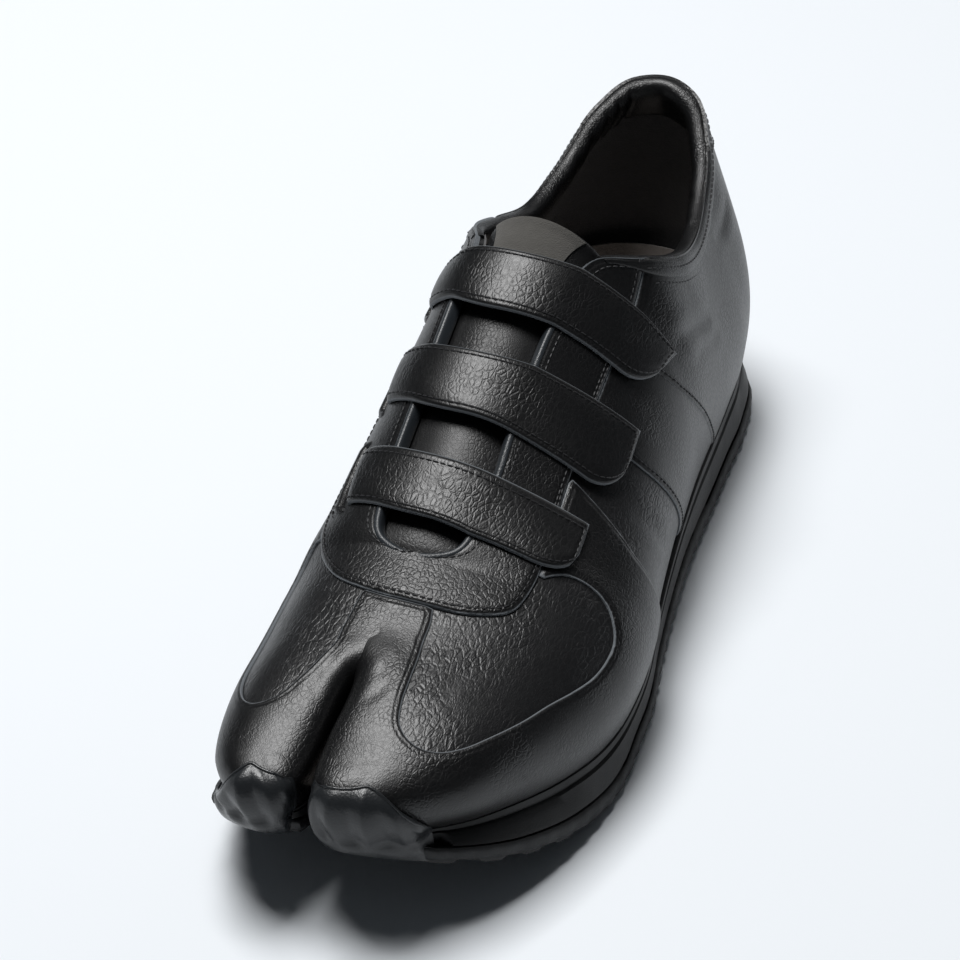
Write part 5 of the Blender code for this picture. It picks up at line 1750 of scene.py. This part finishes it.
class SHOE_OT_insole(bpy.types.Operator):
    """Insole with a soft rolled edge."""

    bl_idname = "shoe.insole"
    bl_label = "Insole"

    def execute(self, context):
        bm = sole_loops([insole_row(*row) for row in INSOLE_EDGE])
        finish = cloth("taupe insole cloth", looks().insole, 0.45, 0.92)
        piece("insole_cloth", bm, finish, ("insole",), sharp=60.0)
        return {"FINISHED"}


# Camera: place in the tables' millimetres, turn, tilt and roll in degrees,
# focal length in pixels of a frame of 960
CAMERA = (231.3, -696.6, 631.9)
CAMERA_TURN = 21.52
CAMERA_TILT = 38.62
CAMERA_ROLL = 1.52
CAMERA_FOCAL = 2376.3
# Middle and side of the square round the shoe, in pixels of that frame
FRAME_MIDDLE = (555.0, 470.0)
FRAME_SIDE = 700.0
SENSOR = 36.0


class SHOE_OT_stage(bpy.types.Operator):
    """Pale floor, soft studio light and camera."""

    bl_idname = "shoe.stage"
    bl_label = "Stage"

    def execute(self, context):
        own = looks()
        scene = context.scene
        bm = bmesh.new()
        bmesh.ops.create_grid(bm, x_segments=8, y_segments=8, size=6.0)
        mesh = bpy.data.meshes.new("studio_floor")
        bm.to_mesh(mesh)
        bm.free()
        finish, _, _ = new_material("painted floor", own.floor, 0.75, Specular_IOR_Level=0.2)
        mesh.materials.append(finish)
        floor = bpy.data.objects.new("studio_floor", mesh)
        scene.collection.objects.link(floor)

        world = bpy.data.worlds.new("studio")
        world.use_nodes = True
        sky = world.node_tree.nodes["Background"]
        sky.inputs["Color"].default_value = (*srgb("#e4eef8"), 1.0)
        sky.inputs["Strength"].default_value = 0.05
        scene.world = world
        scene.view_settings.view_transform = "Standard"
        for name, place, aim, size, power in (
                ("overhead softbox", (-0.4, 0.2, 1.9), (0.0, 0.0, 0.05), (0.85, 0.85), own.key_power),
                ("back softbox", (0.7, 2.4, 1.0), (0.0, 0.0, 0.05), (1.4, 0.8), own.key_power * 0.075)):
            data = bpy.data.lights.new(name, "AREA")
            data.shape = "RECTANGLE"
            data.size, data.size_y = size
            data.energy = power
            lamp = bpy.data.objects.new(name, data)
            lamp.location = place
            lamp.rotation_euler = (Vector(aim) - Vector(place)).to_track_quat("-Z", "Y").to_euler()
            scene.collection.objects.link(lamp)

        turn, tilt, roll = (math.radians(x) for x in (CAMERA_TURN, CAMERA_TILT, CAMERA_ROLL))
        right = Vector((math.cos(turn), math.sin(turn), 0.0))
        ahead = -Vector((math.sin(turn) * math.cos(tilt), -math.cos(turn) * math.cos(tilt), math.sin(tilt)))
        down = ahead.cross(right)
        right, down = (right * math.cos(roll) + down * math.sin(roll),
                       down * math.cos(roll) - right * math.sin(roll))
        ahead = ahead * CAMERA_FOCAL + right * (FRAME_MIDDLE[0] - 480.0) + down * (FRAME_MIDDLE[1] - 480.0)
        ahead.normalize()
        right = (right - ahead * right.dot(ahead)).normalized()
        down = ahead.cross(right)
        data = bpy.data.cameras.new("camera")
        data.sensor_width = SENSOR
        data.lens = CAMERA_FOCAL / FRAME_SIDE * SENSOR
        camera = bpy.data.objects.new("camera", data)
        turned = Matrix((right, -down, -ahead)).transposed().to_4x4()
        camera.matrix_world = Matrix.Translation(Vector(np.array(CAMERA) - MIDDLE) * MM) @ turned
        scene.collection.objects.link(camera)
        scene.camera = camera
        return {"FINISHED"}


class SHOE_PT_panel(bpy.types.Panel):
    """Pieces and finishes of the shoe."""

    bl_idname = "SHOE_PT_panel"
    bl_label = "Tabi sneaker"
    bl_space_type = "VIEW_3D"
    bl_region_type = "UI"
    bl_category = "Shoe"

    def draw(self, context):
        for kind in OPERATORS:
            self.layout.operator(kind.bl_idname)
        for name in ShoeLooks.__annotations__:
            self.layout.prop(context.scene.shoe_looks, name)


OPERATORS = (SHOE_OT_upper, SHOE_OT_overlays, SHOE_OT_collar, SHOE_OT_tongue, SHOE_OT_straps, SHOE_OT_sole,
             SHOE_OT_insole, SHOE_OT_stage)
CLASSES = (ShoeLooks, *OPERATORS, SHOE_PT_panel)


def register():
    for kind in CLASSES:
        bpy.utils.register_class(kind)
    bpy.types.Scene.shoe_looks = bpy.props.PointerProperty(type=ShoeLooks)


def unregister():
    del bpy.types.Scene.shoe_looks
    for kind in reversed(CLASSES):
        bpy.utils.unregister_class(kind)


def main():
    register()
    for kind in OPERATORS:
        group, name = kind.bl_idname.split(".")
        getattr(getattr(bpy.ops, group), name)()


if __name__ == "__main__":
    main()
